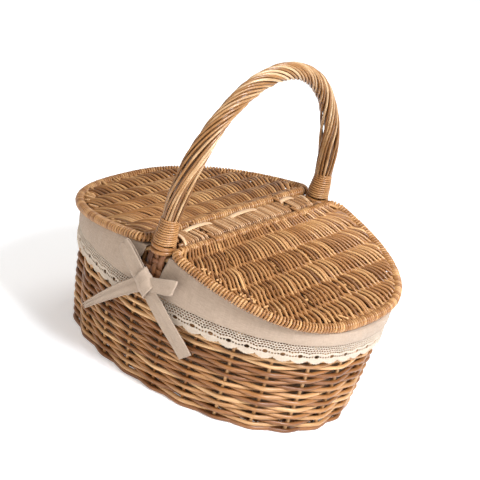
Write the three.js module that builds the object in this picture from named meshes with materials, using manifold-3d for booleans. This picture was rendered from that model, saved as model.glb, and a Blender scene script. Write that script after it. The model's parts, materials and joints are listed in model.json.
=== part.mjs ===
// A two-lidded oval willow picnic basket with a fixed arched handle, a linen liner, lace and bows.
// Millimetres, +Z up. X is the long axis, the handle arches over the short axis, Z = 0 is the floor.
import * as THREE from 'three';
import { mergeVertices } from 'three/addons/utils/BufferGeometryUtils.js';
import Module from 'manifold-3d';

const wasm = await Module();
wasm.setup();

// ---- driving dimensions -------------------------------------------------------------------

const GAP = 0.35; // clearance between neighbouring pieces

// Body: an oval that widens upwards, quickly at first and then hardly at all.
const BASE_HALF_LENGTH = 195;
const BASE_HALF_WIDTH = 144;
const FLARE_LENGTH = 13;
const FLARE_WIDTH = 19;
const FLARE_HEIGHT = 186;
const FLARE_POWER = 2.2;
const BODY_SQUARENESS = 2.2;
const FOOT_HEIGHT = 9;
const STAKES = 24;
const STAKE_R = 2;
const WALL_BANDS = 4;
const WALL_SLAB = 9.6; // thickness of the woven layer
const WALL_SWAY = 1.2; // how far it swings out and in, past one stake and then the next
const WALL_MID = -(WALL_SLAB / 2 + WALL_SWAY + 0.3); // middle of the wall, measured from its outside
const BORDER_R = 5.5;

// Lids and the bar between them.
const LID_HALF_LENGTH = 213;
const LID_HALF_WIDTH = 172;
const LID_SQUARENESS = 2.6;
const LID_SLOPE = Math.atan(0.2);
const LID_RIM_R = 6.3;
const LID_FRAME_R = 3.1;
const LID_CORNER_R = 12;
const LID_ARC_POINTS = 19;
const LID_STICKS = 5;
const LID_STICK_R = 1.8;
const LID_SLAB = 7.4;
const LID_SWAY = 1.3;
const LID_GROUPS = 9;
const HINGE_X = 22;
const HINGE_Z = 192;
const HINGE_LOOP_Y = 86;
const HINGE_LOOP_WIDTH = 6;
const CANE = 1.6;
const BAR_HALF_WIDTH = 15.3;
const BAR_THICKNESS = 9;
const BAR_LENGTH = 282;
const BAR_STICK_R = 2.3;
const BAR_STICK_SPACING = 10;

// Handle.
const HANDLE_HALF_SPAN = 157;
const HANDLE_SPRING_Z = 213;
const HANDLE_RISE = 179;
const HANDLE_R = 10;
const HANDLE_STRANDS = 9;
const HANDLE_TURNS = 2;
const HANDLE_CORE_R = 4.4;
const HANDLE_FOOT_Z = 184.5;
const HANDLE_ROOT_Z = 120; // the core goes down into the wall as far as this
const BINDING_TOP_Z = 228;
const BINDING_BOTTOM_Z = 194;
const BINDING_TOP_R = 12;
const BINDING_BOTTOM_R = 13.4;
const BINDING_TURNS = 5;
const FOOT_LOOP_BULGE = 3.6; // how far the foot's looped rod stands out
const PANEL_BOTTOM_Z = 142;
const PANEL_HALF_WIDTH = 12;
const PANEL_DEPTH = 3;

// Cloth.
const SEAM_Z = 136;
const LACE_DEPTH = 27;
const LACE_SCALLOPS = 26; // on each half
const CUFF_GAP_HALF = 17.5; // each cuff stops this far from the handle's plane
const CUFF_INSIDE = 14; // how far the cuff comes down inside the basket
const CLOTH = 1.8;
const CLOTH_GAP = 0.8; // clearance between the cloth and the wall
const RING = 2 * STAKES; // points round the basket

const RIM_DROP = LID_RIM_R / Math.cos(LID_SLOPE) + 2.6; // from a lid's middle plane to the border's top
const STRAND_R = HANDLE_R / (1 + 1 / Math.sin(Math.PI / HANDLE_STRANDS));
const STRAND_RING = HANDLE_R - STRAND_R;

// ---- colours ------------------------------------------------------------------------------

const MATERIALS = {
  willow_body: { color: '#b98a5a', roughness: 0.55 },
  willow_lid: { color: '#b78a60', roughness: 0.55 },
  willow_handle: { color: '#b0855d', roughness: 0.5 },
  cane: { color: '#c9a57c', roughness: 0.5 },
  linen: { color: '#c8af9b', roughness: 0.9 },
  lace: { color: '#e0d0c2', roughness: 0.9 },
};

// ---- general helpers ----------------------------------------------------------------------

const lerp = THREE.MathUtils.lerp;

function range(count) {
  return Array.from({ length: count }, (_, i) => i);
}

// Triangles that close one flat section, wound the way its points run.
function capTriangles(section) {
  const normal = new THREE.Vector3();
  section.forEach((p, i) => normal.add(new THREE.Vector3().crossVectors(p, section[(i + 1) % section.length])));
  normal.normalize();
  const u = new THREE.Vector3(1, 0, 0);
  if (Math.abs(normal.x) > 0.8) u.set(0, 1, 0);
  u.addScaledVector(normal, -u.dot(normal)).normalize();
  const v = new THREE.Vector3().crossVectors(normal, u);
  const flat = section.map((p) => new THREE.Vector2(p.dot(u), p.dot(v)));
  return THREE.ShapeUtils.triangulateShape(flat, []).map(([a, b, c]) => {
    const area = (flat[b].x - flat[a].x) * (flat[c].y - flat[a].y) - (flat[c].x - flat[a].x) * (flat[b].y - flat[a].y);
    return area > 0 ? [a, b, c] : [a, c, b];
  });
}

// One closed body through a row of cross-sections that all have the same number of points.
// A loop joins the last section to the first; otherwise both ends are capped.
function skin(sections, loop = false) {
  const count = sections[0].length;
  const faces = [];
  const joins = loop ? sections.length : sections.length - 1;
  for (let i = 0; i < joins; i += 1) {
    const here = i * count;
    const next = ((i + 1) % sections.length) * count;
    for (let j = 0; j < count; j += 1) {
      const k = (j + 1) % count;
      faces.push([here + j, here + k, next + k], [here + j, next + k, next + j]);
    }
  }
  if (!loop) {
    const last = (sections.length - 1) * count;
    capTriangles(sections[0]).forEach(([a, b, c]) => faces.push([a, c, b]));
    capTriangles(sections[sections.length - 1]).forEach(([a, b, c]) => faces.push([last + a, last + b, last + c]));
  }
  const points = sections.flat();
  const volume = faces.reduce((sum, [a, b, c]) => {
    return sum + points[a].dot(new THREE.Vector3().crossVectors(points[b], points[c]));
  }, 0);
  const index = faces.flatMap(([a, b, c]) => (volume > 0 ? [a, b, c] : [a, c, b]));
  const geometry = new THREE.BufferGeometry();
  geometry.setAttribute('position', new THREE.Float32BufferAttribute(points.flatMap((p) => p.toArray()), 3));
  geometry.setIndex(index);
  return geometry;
}

// A round rod along a line of points. `side` is a direction that never lies along the line.
function rod(points, radius, sides, side, loop = false) {
  const last = points.length - 1;
  const sections = points.map((p, i) => {
    const before = loop ? points[(i + last) % points.length] : points[Math.max(0, i - 1)];
    const after = loop ? points[(i + 1) % points.length] : points[Math.min(last, i + 1)];
    const along = new THREE.Vector3().subVectors(after, before).normalize();
    const u = new THREE.Vector3().copy(side).addScaledVector(along, -side.dot(along)).normalize();
    const v = new THREE.Vector3().crossVectors(along, u);
    return range(sides).map((j) => {
      const angle = (2 * Math.PI * (j + 0.5)) / sides;
      return p.clone().addScaledVector(u, radius * Math.cos(angle)).addScaledVector(v, radius * Math.sin(angle));
    });
  });
  return skin(sections, loop);
}

// A body turned about the upright line through (x, y); its profile of [radius, height] is closed.
function turned(profile, x, y, sides) {
  const sections = range(sides).map((i) => {
    const angle = (2 * Math.PI * i) / sides;
    return profile.map(([r, z]) => new THREE.Vector3(x + r * Math.cos(angle), y + r * Math.sin(angle), z));
  });
  return skin(sections, true);
}

function box(low, high) {
  const size = new THREE.Vector3().subVectors(high, low);
  const centre = new THREE.Vector3().addVectors(low, high).multiplyScalar(0.5);
  return new THREE.BoxGeometry(size.x, size.y, size.z).translate(centre.x, centre.y, centre.z);
}

function toSolid(geometry) {
  const bare = geometry.clone();
  bare.deleteAttribute('normal');
  bare.deleteAttribute('uv');
  const merged = mergeVertices(bare, 1e-5);
  return new wasm.Manifold(
    new wasm.Mesh({
      numProp: 3,
      vertProperties: new Float32Array(merged.attributes.position.array),
      triVerts: new Uint32Array(merged.index.array),
    }),
  );
}

function fromSolid(solid) {
  const mesh = solid.getMesh();
  const geometry = new THREE.BufferGeometry();
  geometry.setAttribute('position', new THREE.BufferAttribute(new Float32Array(mesh.vertProperties), 3));
  geometry.setIndex(new THREE.BufferAttribute(new Uint32Array(mesh.triVerts), 1));
  return geometry;
}

function join(geometries) {
  return geometries.map(toSolid).reduce((a, b) => a.add(b));
}

const basket = new THREE.Group();
basket.name = 'picnic_basket';

function place(name, geometry, slot) {
  const flat = geometry.index ? geometry.toNonIndexed() : geometry;
  flat.deleteAttribute('normal');
  flat.computeVertexNormals();
  const material = new THREE.MeshStandardMaterial({ ...MATERIALS[slot], metalness: 0 });
  material.name = slot;
  const mesh = new THREE.Mesh(flat, material);
  mesh.name = name;
  basket.add(mesh);
}

// ---- the basket's oval --------------------------------------------------------------------

// A point on a squarish oval, seen from the centre in the direction `angle`.
function ovalPoint(angle, halfLength, halfWidth, squareness) {
  const c = Math.abs(Math.cos(angle) / halfLength) ** squareness;
  const s = Math.abs(Math.sin(angle) / halfWidth) ** squareness;
  const reach = (c + s) ** (-1 / squareness);
  return [reach * Math.cos(angle), reach * Math.sin(angle)];
}

// A point `offset` outside the body's outer surface (negative is inside it).
function wallPoint(angle, z, offset) {
  const rise = THREE.MathUtils.clamp(z / FLARE_HEIGHT, 0, 1);
  const flare = 1 - (1 - rise) ** FLARE_POWER;
  const halfLength = BASE_HALF_LENGTH + FLARE_LENGTH * flare + offset;
  const halfWidth = BASE_HALF_WIDTH + FLARE_WIDTH * flare + offset;
  const [x, y] = ovalPoint(angle, halfLength, halfWidth, BODY_SQUARENESS);
  return new THREE.Vector3(x, y, z);
}

// Angles that divide the oval's edge into equal lengths.
function evenAngles(count, shift = 0) {
  const fine = range(1441).map((i) => wallPoint((i * Math.PI) / 720, FLARE_HEIGHT / 2, WALL_MID));
  const length = [0];
  for (let i = 1; i < fine.length; i += 1) length.push(length[i - 1] + fine[i].distanceTo(fine[i - 1]));
  const total = length[length.length - 1];
  return range(count).map((k) => {
    const target = (total * (k + shift)) / count;
    const i = length.findIndex((value) => value > target);
    return ((i - 1 + (target - length[i - 1]) / (length[i] - length[i - 1])) * Math.PI) / 720;
  });
}

// Height of the border's top: it dips from the handle towards both ends, as the lids do.
function rimTop(angle) {
  const x = Math.abs(wallPoint(angle, FLARE_HEIGHT, WALL_MID).x);
  return HINGE_Z - RIM_DROP - Math.tan(LID_SLOPE) * Math.max(0, x - HINGE_X);
}

// ---- base ---------------------------------------------------------------------------------

const BASE_STICKS = 5;
const BASE_SPACING = 58;
const BASE_LOW = 2;
const BASE_HIGH = 9.5;
const BASE_EDGE = WALL_MID * 2 - GAP;

function ovalRing(z, offset) {
  return evenAngles(RING).map((angle) => wallPoint(angle, 0, offset).setZ(z));
}

// A line right across the base, `overrun` longer than the base at each end.
function baseStickLine(x, overrun) {
  const share = Math.abs(x / (BASE_HALF_LENGTH + BASE_EDGE)) ** BODY_SQUARENESS;
  const reach = (BASE_HALF_WIDTH + BASE_EDGE) * (1 - share) ** (1 / BODY_SQUARENESS) + overrun;
  const z = (BASE_LOW + BASE_HIGH) / 2;
  return [new THREE.Vector3(x, -reach, z), new THREE.Vector3(x, reach, z)];
}

function buildBase() {
  const up = new THREE.Vector3(0, 0, 1);
  const disc = skin([ovalRing(BASE_LOW, BASE_EDGE), ovalRing(BASE_HIGH, BASE_EDGE)]);
  let weave = toSolid(disc);
  range(BASE_STICKS).forEach((i) => {
    const x = (i - (BASE_STICKS - 1) / 2) * BASE_SPACING;
    place(`base_stick_${i + 1}`, rod(baseStickLine(x, -6), STAKE_R, 6, up), 'willow_body');
    weave = weave.subtract(toSolid(rod(baseStickLine(x, 10), STAKE_R + GAP, 6, up)));
  });
  place('base_weave', fromSolid(weave), 'willow_body');
  const foot = evenAngles(RING).map((angle) => [
    wallPoint(angle, 0, BASE_EDGE + GAP).setZ(0),
    wallPoint(angle, 0, -1).setZ(0),
    wallPoint(angle, 0, 0).setZ(FOOT_HEIGHT),
    wallPoint(angle, 0, BASE_EDGE + GAP).setZ(FOOT_HEIGHT),
  ]);
  place('foot_wale', skin(foot, true), 'willow_body');
}

// ---- wall, stakes and border --------------------------------------------------------------

const WALL_BOTTOM = FOOT_HEIGHT + GAP;

function weaveTop(angle) {
  return rimTop(angle) - 2 * BORDER_R - GAP;
}

function stakeLine(angle, low) {
  const middle = WALL_BOTTOM + (weaveTop(angle) - WALL_BOTTOM) * 0.4;
  return [low, middle, rimTop(angle) - BORDER_R].map((z) => wallPoint(angle, z, WALL_MID));
}

// Level direction square to the wall.
function outward(angle) {
  const step = 0.02;
  const edge = wallPoint(angle + step, FLARE_HEIGHT, 0).sub(wallPoint(angle - step, FLARE_HEIGHT, 0)).normalize();
  return new THREE.Vector3(edge.y, -edge.x, 0);
}

// The handle's core runs down inside the wall, half way between two stakes.
function coreRoot(side) {
  const angle = (side * Math.PI) / 2;
  const top = HINGE_Z - RIM_DROP + 1;
  const steps = 3;
  return range(steps + 1).map((i) => wallPoint(angle, lerp(HANDLE_ROOT_Z, top, i / steps), WALL_MID).setX(0));
}

function coreChannel(side) {
  const line = coreRoot(side);
  line.push(line[line.length - 1].clone().setZ(HINGE_Z + 10));
  line[0].z -= 1;
  return toSolid(rod(line, HANDLE_CORE_R + 2 * GAP, 8, new THREE.Vector3(1, 0, 0)));
}

// The woven layer swings outwards at one stake and inwards at the next, the other way in the next band.
function wallColumn(angle, phase) {
  const step = (weaveTop(angle) - WALL_BOTTOM) / WALL_BANDS;
  const blend = 1; // half the height over which one band runs into the next
  const levels = range(WALL_BANDS).flatMap((band) => {
    const low = WALL_BOTTOM + band * step + (band === 0 ? 0 : blend);
    const high = WALL_BOTTOM + (band + 1) * step - (band === WALL_BANDS - 1 ? 0 : blend);
    const sway = phase * (band % 2 === 0 ? 1 : -1) * WALL_SWAY;
    return [[low, sway], [high, sway]];
  });
  const outside = levels.map(([z, sway]) => wallPoint(angle, z, WALL_MID + sway + WALL_SLAB / 2));
  const inside = levels.map(([z, sway]) => wallPoint(angle, z, WALL_MID + sway - WALL_SLAB / 2));
  return [...outside, ...inside.reverse()];
}

function buildWall() {
  const stakes = evenAngles(STAKES, 0.5);
  const columns = evenAngles(RING).map((angle, i) => {
    const atStake = i % 2 === 1;
    return wallColumn(angle, atStake ? 1 - 2 * (((i - 1) / 2) % 2) : 0);
  });
  let wall = toSolid(skin(columns, true));
  const border = evenAngles(RING).map((angle) => {
    return wallPoint(angle, rimTop(angle) - BORDER_R, WALL_MID);
  });
  let cage = toSolid(rod(border, BORDER_R, 6, new THREE.Vector3(0, 0, 1), true));
  stakes.forEach((angle) => {
    const channel = rod(stakeLine(angle, WALL_BOTTOM - 1), (STAKE_R + GAP) * Math.SQRT2, 4, outward(angle));
    wall = wall.subtract(toSolid(channel));
    cage = cage.add(toSolid(rod(stakeLine(angle, WALL_BOTTOM + GAP), STAKE_R, 5, outward(angle))));
  });
  [-1, 1].forEach((side) => {
    wall = wall.subtract(coreChannel(side));
    cage = cage.subtract(coreChannel(side));
  });
  place('wall_weave', fromSolid(wall), 'willow_body');
  place('stakes_and_border', fromSolid(cage), 'willow_body');
}

// ---- handle -------------------------------------------------------------------------------

function handleCurve() {
  const arch = range(19).map((i) => {
    const angle = (Math.PI * i) / 18;
    const y = -HANDLE_HALF_SPAN * Math.cos(angle);
    return new THREE.Vector3(0, y, HANDLE_SPRING_Z + HANDLE_RISE * Math.sin(angle));
  });
  const feet = [-1, 1].map((side) => new THREE.Vector3(0, side * HANDLE_HALF_SPAN, HANDLE_FOOT_Z));
  return new THREE.CatmullRomCurve3([feet[0], ...arch, feet[1]]);
}

function buildHandle() {
  const across = new THREE.Vector3(1, 0, 0);
  const curve = handleCurve();
  const segments = 20;
  const spaced = curve.getSpacedPoints(segments);
  const core = [...coreRoot(-1), ...spaced.slice(1, -1), ...coreRoot(1).reverse()];
  place('handle_core', rod(core, HANDLE_CORE_R, 6, across), 'willow_handle');
  range(HANDLE_STRANDS).forEach((k) => {
    const line = spaced.map((p, i) => {
      const along = curve.getTangentAt(i / segments);
      const inPlane = new THREE.Vector3().crossVectors(along, across);
      const angle = 2 * Math.PI * (k / HANDLE_STRANDS + (HANDLE_TURNS * i) / segments);
      return p
        .clone()
        .addScaledVector(across, STRAND_RING * Math.cos(angle))
        .addScaledVector(inPlane, STRAND_RING * Math.sin(angle));
    });
    place(`handle_strand_${k + 1}`, rod(line, STRAND_R - GAP, 5, across), 'willow_handle');
  });
  ['front', 'back'].forEach((end, i) => {
    const side = i === 0 ? -1 : 1;
    buildHandleFoot(end, side);
  });
}

// Cane bound round the foot, a thicker rod looped twice below it, and a strip panel down the wall.
function buildHandleFoot(end, side) {
  const y = side * HANDLE_HALF_SPAN;
  const inner = HANDLE_R + 3 * GAP;
  const ridges = range(BINDING_TURNS * 2 + 1).map((i) => {
    const share = i / (BINDING_TURNS * 2);
    const bulge = i % 2 === 1 ? CANE / 2 : 0;
    const radius = lerp(BINDING_BOTTOM_R, BINDING_TOP_R, share) + bulge;
    return [radius, lerp(BINDING_BOTTOM_Z, BINDING_TOP_Z, share)];
  });
  const binding = [[inner, BINDING_BOTTOM_Z], ...ridges, [inner, BINDING_TOP_Z]];
  place(`handle_binding_${end}`, turned(binding, 0, y, 10), 'cane');
  const low = HANDLE_FOOT_Z + GAP;
  const high = BINDING_BOTTOM_Z - GAP;
  const middle = (low + high) / 2;
  const outer = inner + FOOT_LOOP_BULGE;
  const waist = inner + FOOT_LOOP_BULGE / 2;
  const loops = [
    [inner, low],
    [waist, low],
    [outer, (low + middle) / 2],
    [waist, middle],
    [outer, (high + middle) / 2],
    [waist, high],
    [inner, high],
  ];
  place(`handle_foot_loop_${end}`, turned(loops, 0, y, 10), 'cane');
  place(`handle_foot_panel_${end}`, footPanel(side), 'willow_body');
}

function footPanel(side) {
  const angle = (side * Math.PI) / 2;
  const steps = 3;
  const outerHalf = PANEL_HALF_WIDTH - 2;
  const sections = range(steps + 1).map((i) => {
    const z = lerp(PANEL_BOTTOM_Z, HANDLE_FOOT_Z - GAP, i / steps);
    const inner = wallPoint(angle, z, GAP).y;
    const outer = inner + side * PANEL_DEPTH;
    return [
      new THREE.Vector3(-PANEL_HALF_WIDTH, inner, z),
      new THREE.Vector3(PANEL_HALF_WIDTH, inner, z),
      new THREE.Vector3(outerHalf, outer, z),
      new THREE.Vector3(-outerHalf, outer, z),
    ];
  });
  return skin(sections);
}

// ---- bar between the lids -----------------------------------------------------------------

function buildBar() {
  const half = BAR_THICKNESS / 2;
  const soft = 2;
  const outline = new THREE.Shape([
    new THREE.Vector2(-BAR_HALF_WIDTH, -half + soft),
    new THREE.Vector2(-BAR_HALF_WIDTH + soft, -half),
    new THREE.Vector2(BAR_HALF_WIDTH - soft, -half),
    new THREE.Vector2(BAR_HALF_WIDTH, -half + soft),
    new THREE.Vector2(BAR_HALF_WIDTH, half - soft),
    new THREE.Vector2(BAR_HALF_WIDTH - soft, half),
    new THREE.Vector2(-BAR_HALF_WIDTH + soft, half),
    new THREE.Vector2(-BAR_HALF_WIDTH, half - soft),
  ]);
  const slab = new THREE.ExtrudeGeometry(outline, { depth: BAR_LENGTH, bevelEnabled: false });
  slab.rotateX(Math.PI / 2).translate(0, BAR_LENGTH / 2, HINGE_Z);
  let weave = toSolid(slab);
  const up = new THREE.Vector3(0, 0, 1);
  [-1, 0, 1].forEach((i) => {
    const x = i * BAR_STICK_SPACING;
    const ends = (reach) => [new THREE.Vector3(x, -reach, HINGE_Z), new THREE.Vector3(x, reach, HINGE_Z)];
    place(`bar_stick_${i + 2}`, rod(ends(BAR_LENGTH / 2 - 1), BAR_STICK_R, 8, up), 'willow_lid');
    weave = weave.subtract(toSolid(rod(ends(BAR_LENGTH / 2 + 5), BAR_STICK_R + GAP, 8, up)));
  });
  // Shallow steps, turn and turn about, where the weavers pass over and under the middle stick.
  const blocks = 9;
  const pitch = BAR_LENGTH / blocks;
  range(blocks).forEach((i) => {
    const low = -BAR_LENGTH / 2 + i * pitch;
    if (i % 2 === 1) {
      const from = new THREE.Vector3(-4, low + 3, HINGE_Z + half - 1);
      const to = new THREE.Vector3(4, low + pitch - 3, HINGE_Z + half + 1);
      weave = weave.subtract(toSolid(box(from, to)));
    }
  });
  hingePlaces().forEach(({ sideX, y }) => {
    const notchFrom = BAR_STICK_SPACING - LID_FRAME_R - CANE - 3 * GAP;
    const xs = [sideX * notchFrom, sideX * (BAR_HALF_WIDTH + 2)].sort((a, b) => a - b);
    const halfNotch = HINGE_LOOP_WIDTH / 2 + GAP;
    const low = new THREE.Vector3(xs[0], y - halfNotch, HINGE_Z - BAR_THICKNESS);
    const high = new THREE.Vector3(xs[1], y + halfNotch, HINGE_Z + BAR_THICKNESS);
    weave = weave.subtract(toSolid(box(low, high)));
  });
  place('bar_weave', fromSolid(weave), 'willow_lid');
}

// ---- hinge loops --------------------------------------------------------------------------

function hingePlaces() {
  return [
    { name: 'right_front', sideX: 1, y: -HINGE_LOOP_Y },
    { name: 'right_back', sideX: 1, y: HINGE_LOOP_Y },
    { name: 'left_front', sideX: -1, y: -HINGE_LOOP_Y },
    { name: 'left_back', sideX: -1, y: HINGE_LOOP_Y },
  ];
}

// A cane loop round the bar's outer stick and the lid's straight edge: a flat link with two round ends.
function buildHingeLoops() {
  const from = BAR_STICK_SPACING;
  const inner = LID_FRAME_R + GAP;
  const outer = inner + CANE;
  const link = (radius) => {
    const right = range(7).map((i) => -Math.PI / 2 + (Math.PI * i) / 6);
    const left = right.map((angle) => angle + Math.PI);
    return [
      ...right.map((angle) => [HINGE_X + radius * Math.cos(angle), radius * Math.sin(angle)]),
      ...left.map((angle) => [from + radius * Math.cos(angle), radius * Math.sin(angle)]),
    ];
  };
  const innerLink = link(inner);
  const outerLink = link(outer);
  hingePlaces().forEach(({ name, sideX, y }) => {
    const low = y - HINGE_LOOP_WIDTH / 2;
    const high = y + HINGE_LOOP_WIDTH / 2;
    const at = ([x, z], yy) => new THREE.Vector3(sideX * x, yy, HINGE_Z + z);
    const sections = innerLink.map((p, i) => [
      at(p, low),
      at(outerLink[i], low),
      at(outerLink[i], high),
      at(p, high),
    ]);
    place(`hinge_loop_${name}`, skin(sections, true), 'cane');
  });
}

// ---- lids ---------------------------------------------------------------------------------
// A lid is drawn flat: x is the distance from its hinge, y runs along the bar, z = 0 is its middle.

function lidHalfWidthAt(x) {
  const halfLength = LID_HALF_LENGTH - LID_RIM_R;
  const halfWidth = LID_HALF_WIDTH - LID_RIM_R;
  const share = Math.min(1, ((x + HINGE_X) / halfLength) ** LID_SQUARENESS);
  return halfWidth * (1 - share) ** (1 / LID_SQUARENESS);
}

// The D of the lid's frame: a straight side on the hinge, two round corners and the oval.
function lidFrameLine() {
  const corner = lidHalfWidthAt(LID_CORNER_R);
  const sweep = Math.atan2(corner, LID_CORNER_R + HINGE_X);
  const oval = range(LID_ARC_POINTS).map((i) => {
    const angle = -sweep + (2 * sweep * i) / (LID_ARC_POINTS - 1);
    const halfLength = LID_HALF_LENGTH - LID_RIM_R;
    const halfWidth = LID_HALF_WIDTH - LID_RIM_R;
    const [x, y] = ovalPoint(angle, halfLength, halfWidth, LID_SQUARENESS);
    return new THREE.Vector3(x - HINGE_X, y, 0);
  });
  const bend = (side) =>
    range(3).map((i) => {
      const angle = (Math.PI / 6) * i;
      const x = LID_CORNER_R * (1 - Math.cos(angle));
      return new THREE.Vector3(x, side * (corner - LID_CORNER_R * (1 - Math.sin(angle))), 0);
    });
  const start = bend(-1);
  const finish = bend(1).reverse();
  const straight = range(3).map((i) => new THREE.Vector3(0, (corner - LID_CORNER_R) * (0.5 - 0.5 * i), 0));
  return [...start, ...oval, ...finish, ...straight];
}

// Groups of weavers pass over one stick and under the next; the group beside does the opposite.
function lidSlab() {
  const pitch = (LID_HALF_LENGTH - HINGE_X) / (LID_STICKS + 1);
  const rows = range(2 * LID_STICKS + 3).map((i) => (i * pitch) / 2);
  const width = (2 * LID_HALF_WIDTH) / LID_GROUPS;
  const blend = 2;
  const columns = range(LID_GROUPS).flatMap((group) => {
    const low = -LID_HALF_WIDTH + group * width;
    const way = group % 2 === 0 ? 1 : -1;
    return [
      [low + blend, way],
      [low + width - blend, way],
    ];
  });
  const sections = columns.map(([y, way]) => {
    const sway = rows.map((_, i) => way * LID_SWAY * Math.sin((Math.PI * i) / 2));
    const top = rows.map((x, i) => new THREE.Vector3(x, y, sway[i] + LID_SLAB / 2));
    const bottom = rows.map((x, i) => new THREE.Vector3(x, y, sway[i] - LID_SLAB / 2));
    return [...top, ...bottom.reverse()];
  });
  return toSolid(skin(sections));
}

function stickLine(k, shortBy) {
  const x = ((k + 1) * (LID_HALF_LENGTH - HINGE_X)) / (LID_STICKS + 1);
  const reach = lidHalfWidthAt(x) - shortBy;
  return [new THREE.Vector3(x, -reach, 0), new THREE.Vector3(x, reach, 0)];
}

function lidWeave() {
  const up = new THREE.Vector3(0, 0, 1);
  const line = lidFrameLine();
  const flat = line.map((p) => new THREE.Vector2(p.x, p.y));
  const plan = new THREE.ExtrudeGeometry(new THREE.Shape(flat), { depth: 30, bevelEnabled: false });
  plan.translate(0, 0, -15);
  let weave = lidSlab().intersect(toSolid(plan));
  weave = weave.add(toSolid(rod(line, LID_RIM_R, 6, up, true)));
  weave = weave.subtract(toSolid(rod(line, LID_FRAME_R + GAP, 6, up, true)));
  range(LID_STICKS).forEach((k) => {
    const channel = rod(stickLine(k, 1), (LID_STICK_R + GAP) * Math.SQRT2, 4, up);
    weave = weave.subtract(toSolid(channel));
  });
  [-1, 1].forEach((side) => {
    const halfNotch = HINGE_LOOP_WIDTH / 2 + 2 * GAP;
    const low = new THREE.Vector3(-10, side * HINGE_LOOP_Y - halfNotch, -10);
    const high = new THREE.Vector3(LID_RIM_R + 1, side * HINGE_LOOP_Y + halfNotch, 10);
    weave = weave.subtract(toSolid(box(low, high)));
  });
  return fromSolid(weave);
}

function buildLids() {
  const up = new THREE.Vector3(0, 0, 1);
  ['right', 'left'].forEach((end) => {
    const onto = (geometry) => {
      geometry.rotateY(LID_SLOPE).translate(HINGE_X, 0, HINGE_Z);
      return end === 'right' ? geometry : geometry.rotateZ(Math.PI);
    };
    place(`lid_${end}_frame`, onto(rod(lidFrameLine(), LID_FRAME_R, 6, up, true)), 'willow_lid');
    range(LID_STICKS).forEach((k) => {
      const stick = rod(stickLine(k, LID_FRAME_R + 8), LID_STICK_R, 6, up);
      place(`lid_${end}_stick_${k + 1}`, onto(stick), 'willow_lid');
    });
    place(`lid_${end}_weave`, onto(lidWeave()), 'willow_lid');
  });
}

// ---- liner, cuffs and lace ----------------------------------------------------------------

// Angles along one half of the oval, from beside the front handle foot to beside the back one.
function halfAngles(end, count) {
  const gapAngle = CUFF_GAP_HALF / (BASE_HALF_WIDTH + FLARE_WIDTH);
  const reach = Math.PI / 2 - gapAngle;
  const middle = end === 'right' ? 0 : Math.PI;
  return range(count).map((i) => middle - reach + (2 * reach * i) / (count - 1));
}

function buildBag() {
  const inside = 2 * WALL_MID - GAP;
  const low = BASE_HIGH + 2 * GAP;
  const ring = (level, offset) => evenAngles(RING).map((angle) => wallPoint(angle, level(angle), offset));
  const top = (angle) => rimTop(angle) - CUFF_INSIDE - 2 * GAP;
  const sections = [
    ring(() => low, inside - 5),
    ring(top, inside),
    ring(top, inside - CLOTH),
    ring(() => low + CLOTH, inside - 5 - CLOTH),
  ];
  place('liner_bag', skin(sections), 'linen');
}

function buildCuffs() {
  ['right', 'left'].forEach((end) => {
    const cuff = halfAngles(end, 23).map((angle) => {
      const rim = rimTop(angle);
      const over = rim + CLOTH;
      const inner = 2 * WALL_MID - CLOTH_GAP;
      const at = (z, offset) => wallPoint(angle, z, offset);
      return [
        at(SEAM_Z, CLOTH_GAP),
        at(SEAM_Z, CLOTH_GAP + CLOTH),
        at(over, CLOTH_GAP + CLOTH / 2),
        at(over, inner - CLOTH / 2),
        at(rim - CUFF_INSIDE, inner - CLOTH),
        at(rim - CUFF_INSIDE, inner),
        at(rim + GAP, inner),
        at(rim + GAP, CLOTH_GAP),
      ];
    });
    place(`liner_cuff_${end}`, skin(cuff), 'linen');
    const steps = 2 * LACE_SCALLOPS + 1;
    const lace = halfAngles(end, steps).map((angle, i) => {
      const bottom = SEAM_Z - LACE_DEPTH + (i % 2 === 0 ? 3 : 0);
      const at = (z, offset) => wallPoint(angle, z, offset);
      const near = CLOTH_GAP;
      const far = near + 1.1;
      return [at(bottom, near), at(bottom, far), at(SEAM_Z - GAP, far), at(SEAM_Z - GAP, near)];
    });
    place(`lace_${end}`, skin(lace), 'lace');
  });
}

// ---- bows ---------------------------------------------------------------------------------

const BOW_Y = BASE_HALF_WIDTH + FLARE_WIDTH + 9;
const BOW_KNOT_Z = 146;
const BOW_STRIP = 18;
const KNOT_R = 9;

// A flat strip that keeps its broad side towards the wall. Points are [x, outwards, z].
function strip(points, width) {
  const line = new THREE.CatmullRomCurve3(points.map(([x, out, z]) => new THREE.Vector3(x, -BOW_Y - out, z)));
  const segments = points.length + 1;
  const sections = range(segments + 1).map((i) => {
    const p = line.getPoint(i / segments);
    const along = line.getTangent(i / segments);
    const wide = new THREE.Vector3(along.z, 0, -along.x).normalize();
    const thick = new THREE.Vector3().crossVectors(along, wide).normalize();
    return [[-1, -1], [1, -1], [1, 1], [-1, 1]].map(([a, b]) => {
      return p.clone().addScaledVector(wide, (a * width) / 2).addScaledVector(thick, b);
    });
  });
  return skin(sections);
}

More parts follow.
